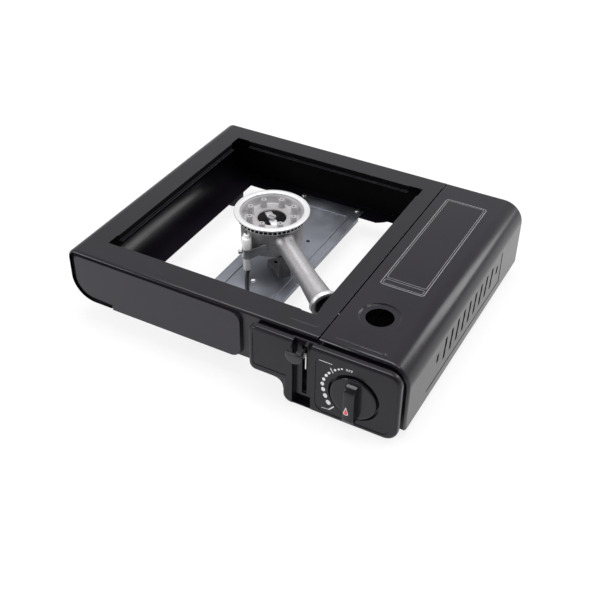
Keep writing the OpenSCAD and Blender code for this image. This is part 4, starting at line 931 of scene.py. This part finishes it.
toothed_ring = turned("toothed_ring", ring_profile(TOOTH_R), 192, notch=ring_profile(GAP_R))
finish_piece(toothed_ring, bright_alloy, "frame")
# the second slot holds painted shade for the gaps between the teeth
toothed_ring.data.materials.append(painted_shade)
for face in toothed_ring.data.polygons:         # the gaps between the teeth lead inside
    x, y, z = face.center * 1000
    radius = math.hypot(x - BURNER[0], y - BURNER[1])
    if GAP_INNER < radius < GAP_OUTER and GAP_LOW < z < GAP_HIGH:
        face.material_index = 1
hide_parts("burner_ring")
print("ring faces:", len(toothed_ring.data.polygons))

# %% [markdown]
# ## Bar across the burner and rim of the mixing tube
# A narrow bar crosses the dish's open middle and lifts gently where the screw sits. The
# slanted mixing tube ends in a short round flange, turned bright where it was machined.
# Both follow a line that isn't one of the three axes, so their rings are set up from
# directions: one along the line, one to its side and one up.

# %% Bar across the open middle
DISH_Z, BRIDGE_LENGTH, BRIDGE_STEPS = 71.0, 40.0, 24
BRIDGE_LIFT, LIFT_END, LIFT_FADE = 0.95, 7.0, 5.0

def bridge_section(u):
    fall = min(max((abs(u) - LIFT_END) / LIFT_FADE, 0), 1)
    lift = BRIDGE_LIFT * (1 - fall ** 2 * (3 - 2 * fall))
    low, high = DISH_Z - 1.2 + lift, DISH_Z - 0.02 + lift
    section = [(-3.3, low), (3.3, low), (3.5, low + 0.3), (3.5, high - 0.3), (3.2, high),
               (-3.2, high), (-3.5, high - 0.3), (-3.5, low + 0.3)]
    along, side = Vector((1, -1, 0)).normalized(), Vector((1, 1, 0)).normalized()
    return [Vector((*BURNER, 0)) + along * u + side * v + Vector((0, 0, z))
            for v, z in section]

places = [-BRIDGE_LENGTH / 2 + BRIDGE_LENGTH * k / BRIDGE_STEPS for k in range(BRIDGE_STEPS + 1)]
bridge_bar = loft_piece("bridge_bar", [bridge_section(u) for u in places], 50)
finish_piece(bridge_bar, bright_alloy, "frame")
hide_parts("spider_bar")
say_size("bar across the middle", bridge_bar)

# %% Rim at the mouth of the mixing tube
TUBE_START = Vector((BURNER[0], BURNER[1], 67.0))
fall, turn = radians_of(7.6, -36.8)             # how the tube slopes down, and its heading
along = Vector((math.cos(fall) * math.cos(turn), math.cos(fall) * math.sin(turn),
                -math.sin(fall)))
side = Vector((-math.sin(turn), math.cos(turn), 0))
RIM_PROFILE = [(13.45, 114.6), (13.56, 114.8), (13.56, 118.7), (13.3, 119.04), (11.6, 119.06),
               (10.6, 119.0), (10.2, 118.4)]
rim = loft_piece("mouth_rim", slanted_rings(TUBE_START, along, side, along.cross(side),
                                            RIM_PROFILE, 72), 60, close_ends=False)
finish_piece(rim, bright_alloy, "frame")
say_size("mouth rim", rim)

# %% [markdown]
# ## Small fittings
# Four small things finish the stove: a dark plate of painted shade behind the seam's rear
# end, the screw that pulls the electrode's clip shut, and an eyelet and a rivet in the bar
# across the bottom. The eyelet and the rivet need the height of that bar's flat sheet, which
# is the top of its box less the frame that is pressed up from it.

# %% Painted shade behind the seam's rear end
outline = [(85.4, 62.0), (88.2, 62.0), (88.2, 75.0), (85.4, 75.0)]
seam_shade = loft_piece("seam_shade", [[(x, y, z) for x, z in outline] for y in (148.5, 149.0)])
# a dark plate of painted shade in the seam's rear end
finish_piece(seam_shade, painted_shade, "frame")
say_size("seam plate", seam_shade)

# %% Screw that closes the electrode's clip
SCREW_START = Vector((-43.0, -23.4, 51.6))
SCREW_PROFILE = [(1.5, 4.4), (1.5, 6.4), (2.1, 6.5), (2.2, 7.6), (1.7, 8.1), (0.8, 8.2)]
aim, up = Vector((-0.88, -0.47, 0)).normalized(), Vector((0, 0, 1))
clip_screw = loft_piece("clip_screw", slanted_rings(SCREW_START, aim, up.cross(aim), up,
                                                    SCREW_PROFILE, 20), 50)
finish_piece(clip_screw, plain_steel, "frame")
say_size("clip screw", clip_screw)

# %% Eyelet and rivet of the crossbar
PRESSED_FRAME = 1.0                             # how high the frame is pressed up
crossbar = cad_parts["crossbar"]
box_top = max((crossbar.matrix_world @ Vector(c)).z for c in crossbar.bound_box)
CROSSBAR_Z = box_top * 1000 - PRESSED_FRAME

def washer(name, x, y, profile, close):
    return loft_piece(name, upright_rings((x, y), profile, 48, CROSSBAR_Z), 60, close)

eyelet = washer("eyelet", BURNER[0] + 0.5, BURNER[1] - 38,
                [(4.6, 0.02), (4.4, 0.25), (3.0, 0.35), (2.3, 0.25), (2.1, -0.5)], False)
rivet = washer("rivet", BURNER[0] + 15.5, BURNER[1] + 45.6,
               [(1.9, -0.1), (1.8, 0.4), (1.3, 0.7), (0.6, 0.85)], True)
finish_piece(eyelet, zinc, "frame")
finish_piece(rivet, dark_steel, "frame")
print("crossbar top at", round(CROSSBAR_Z, 2))
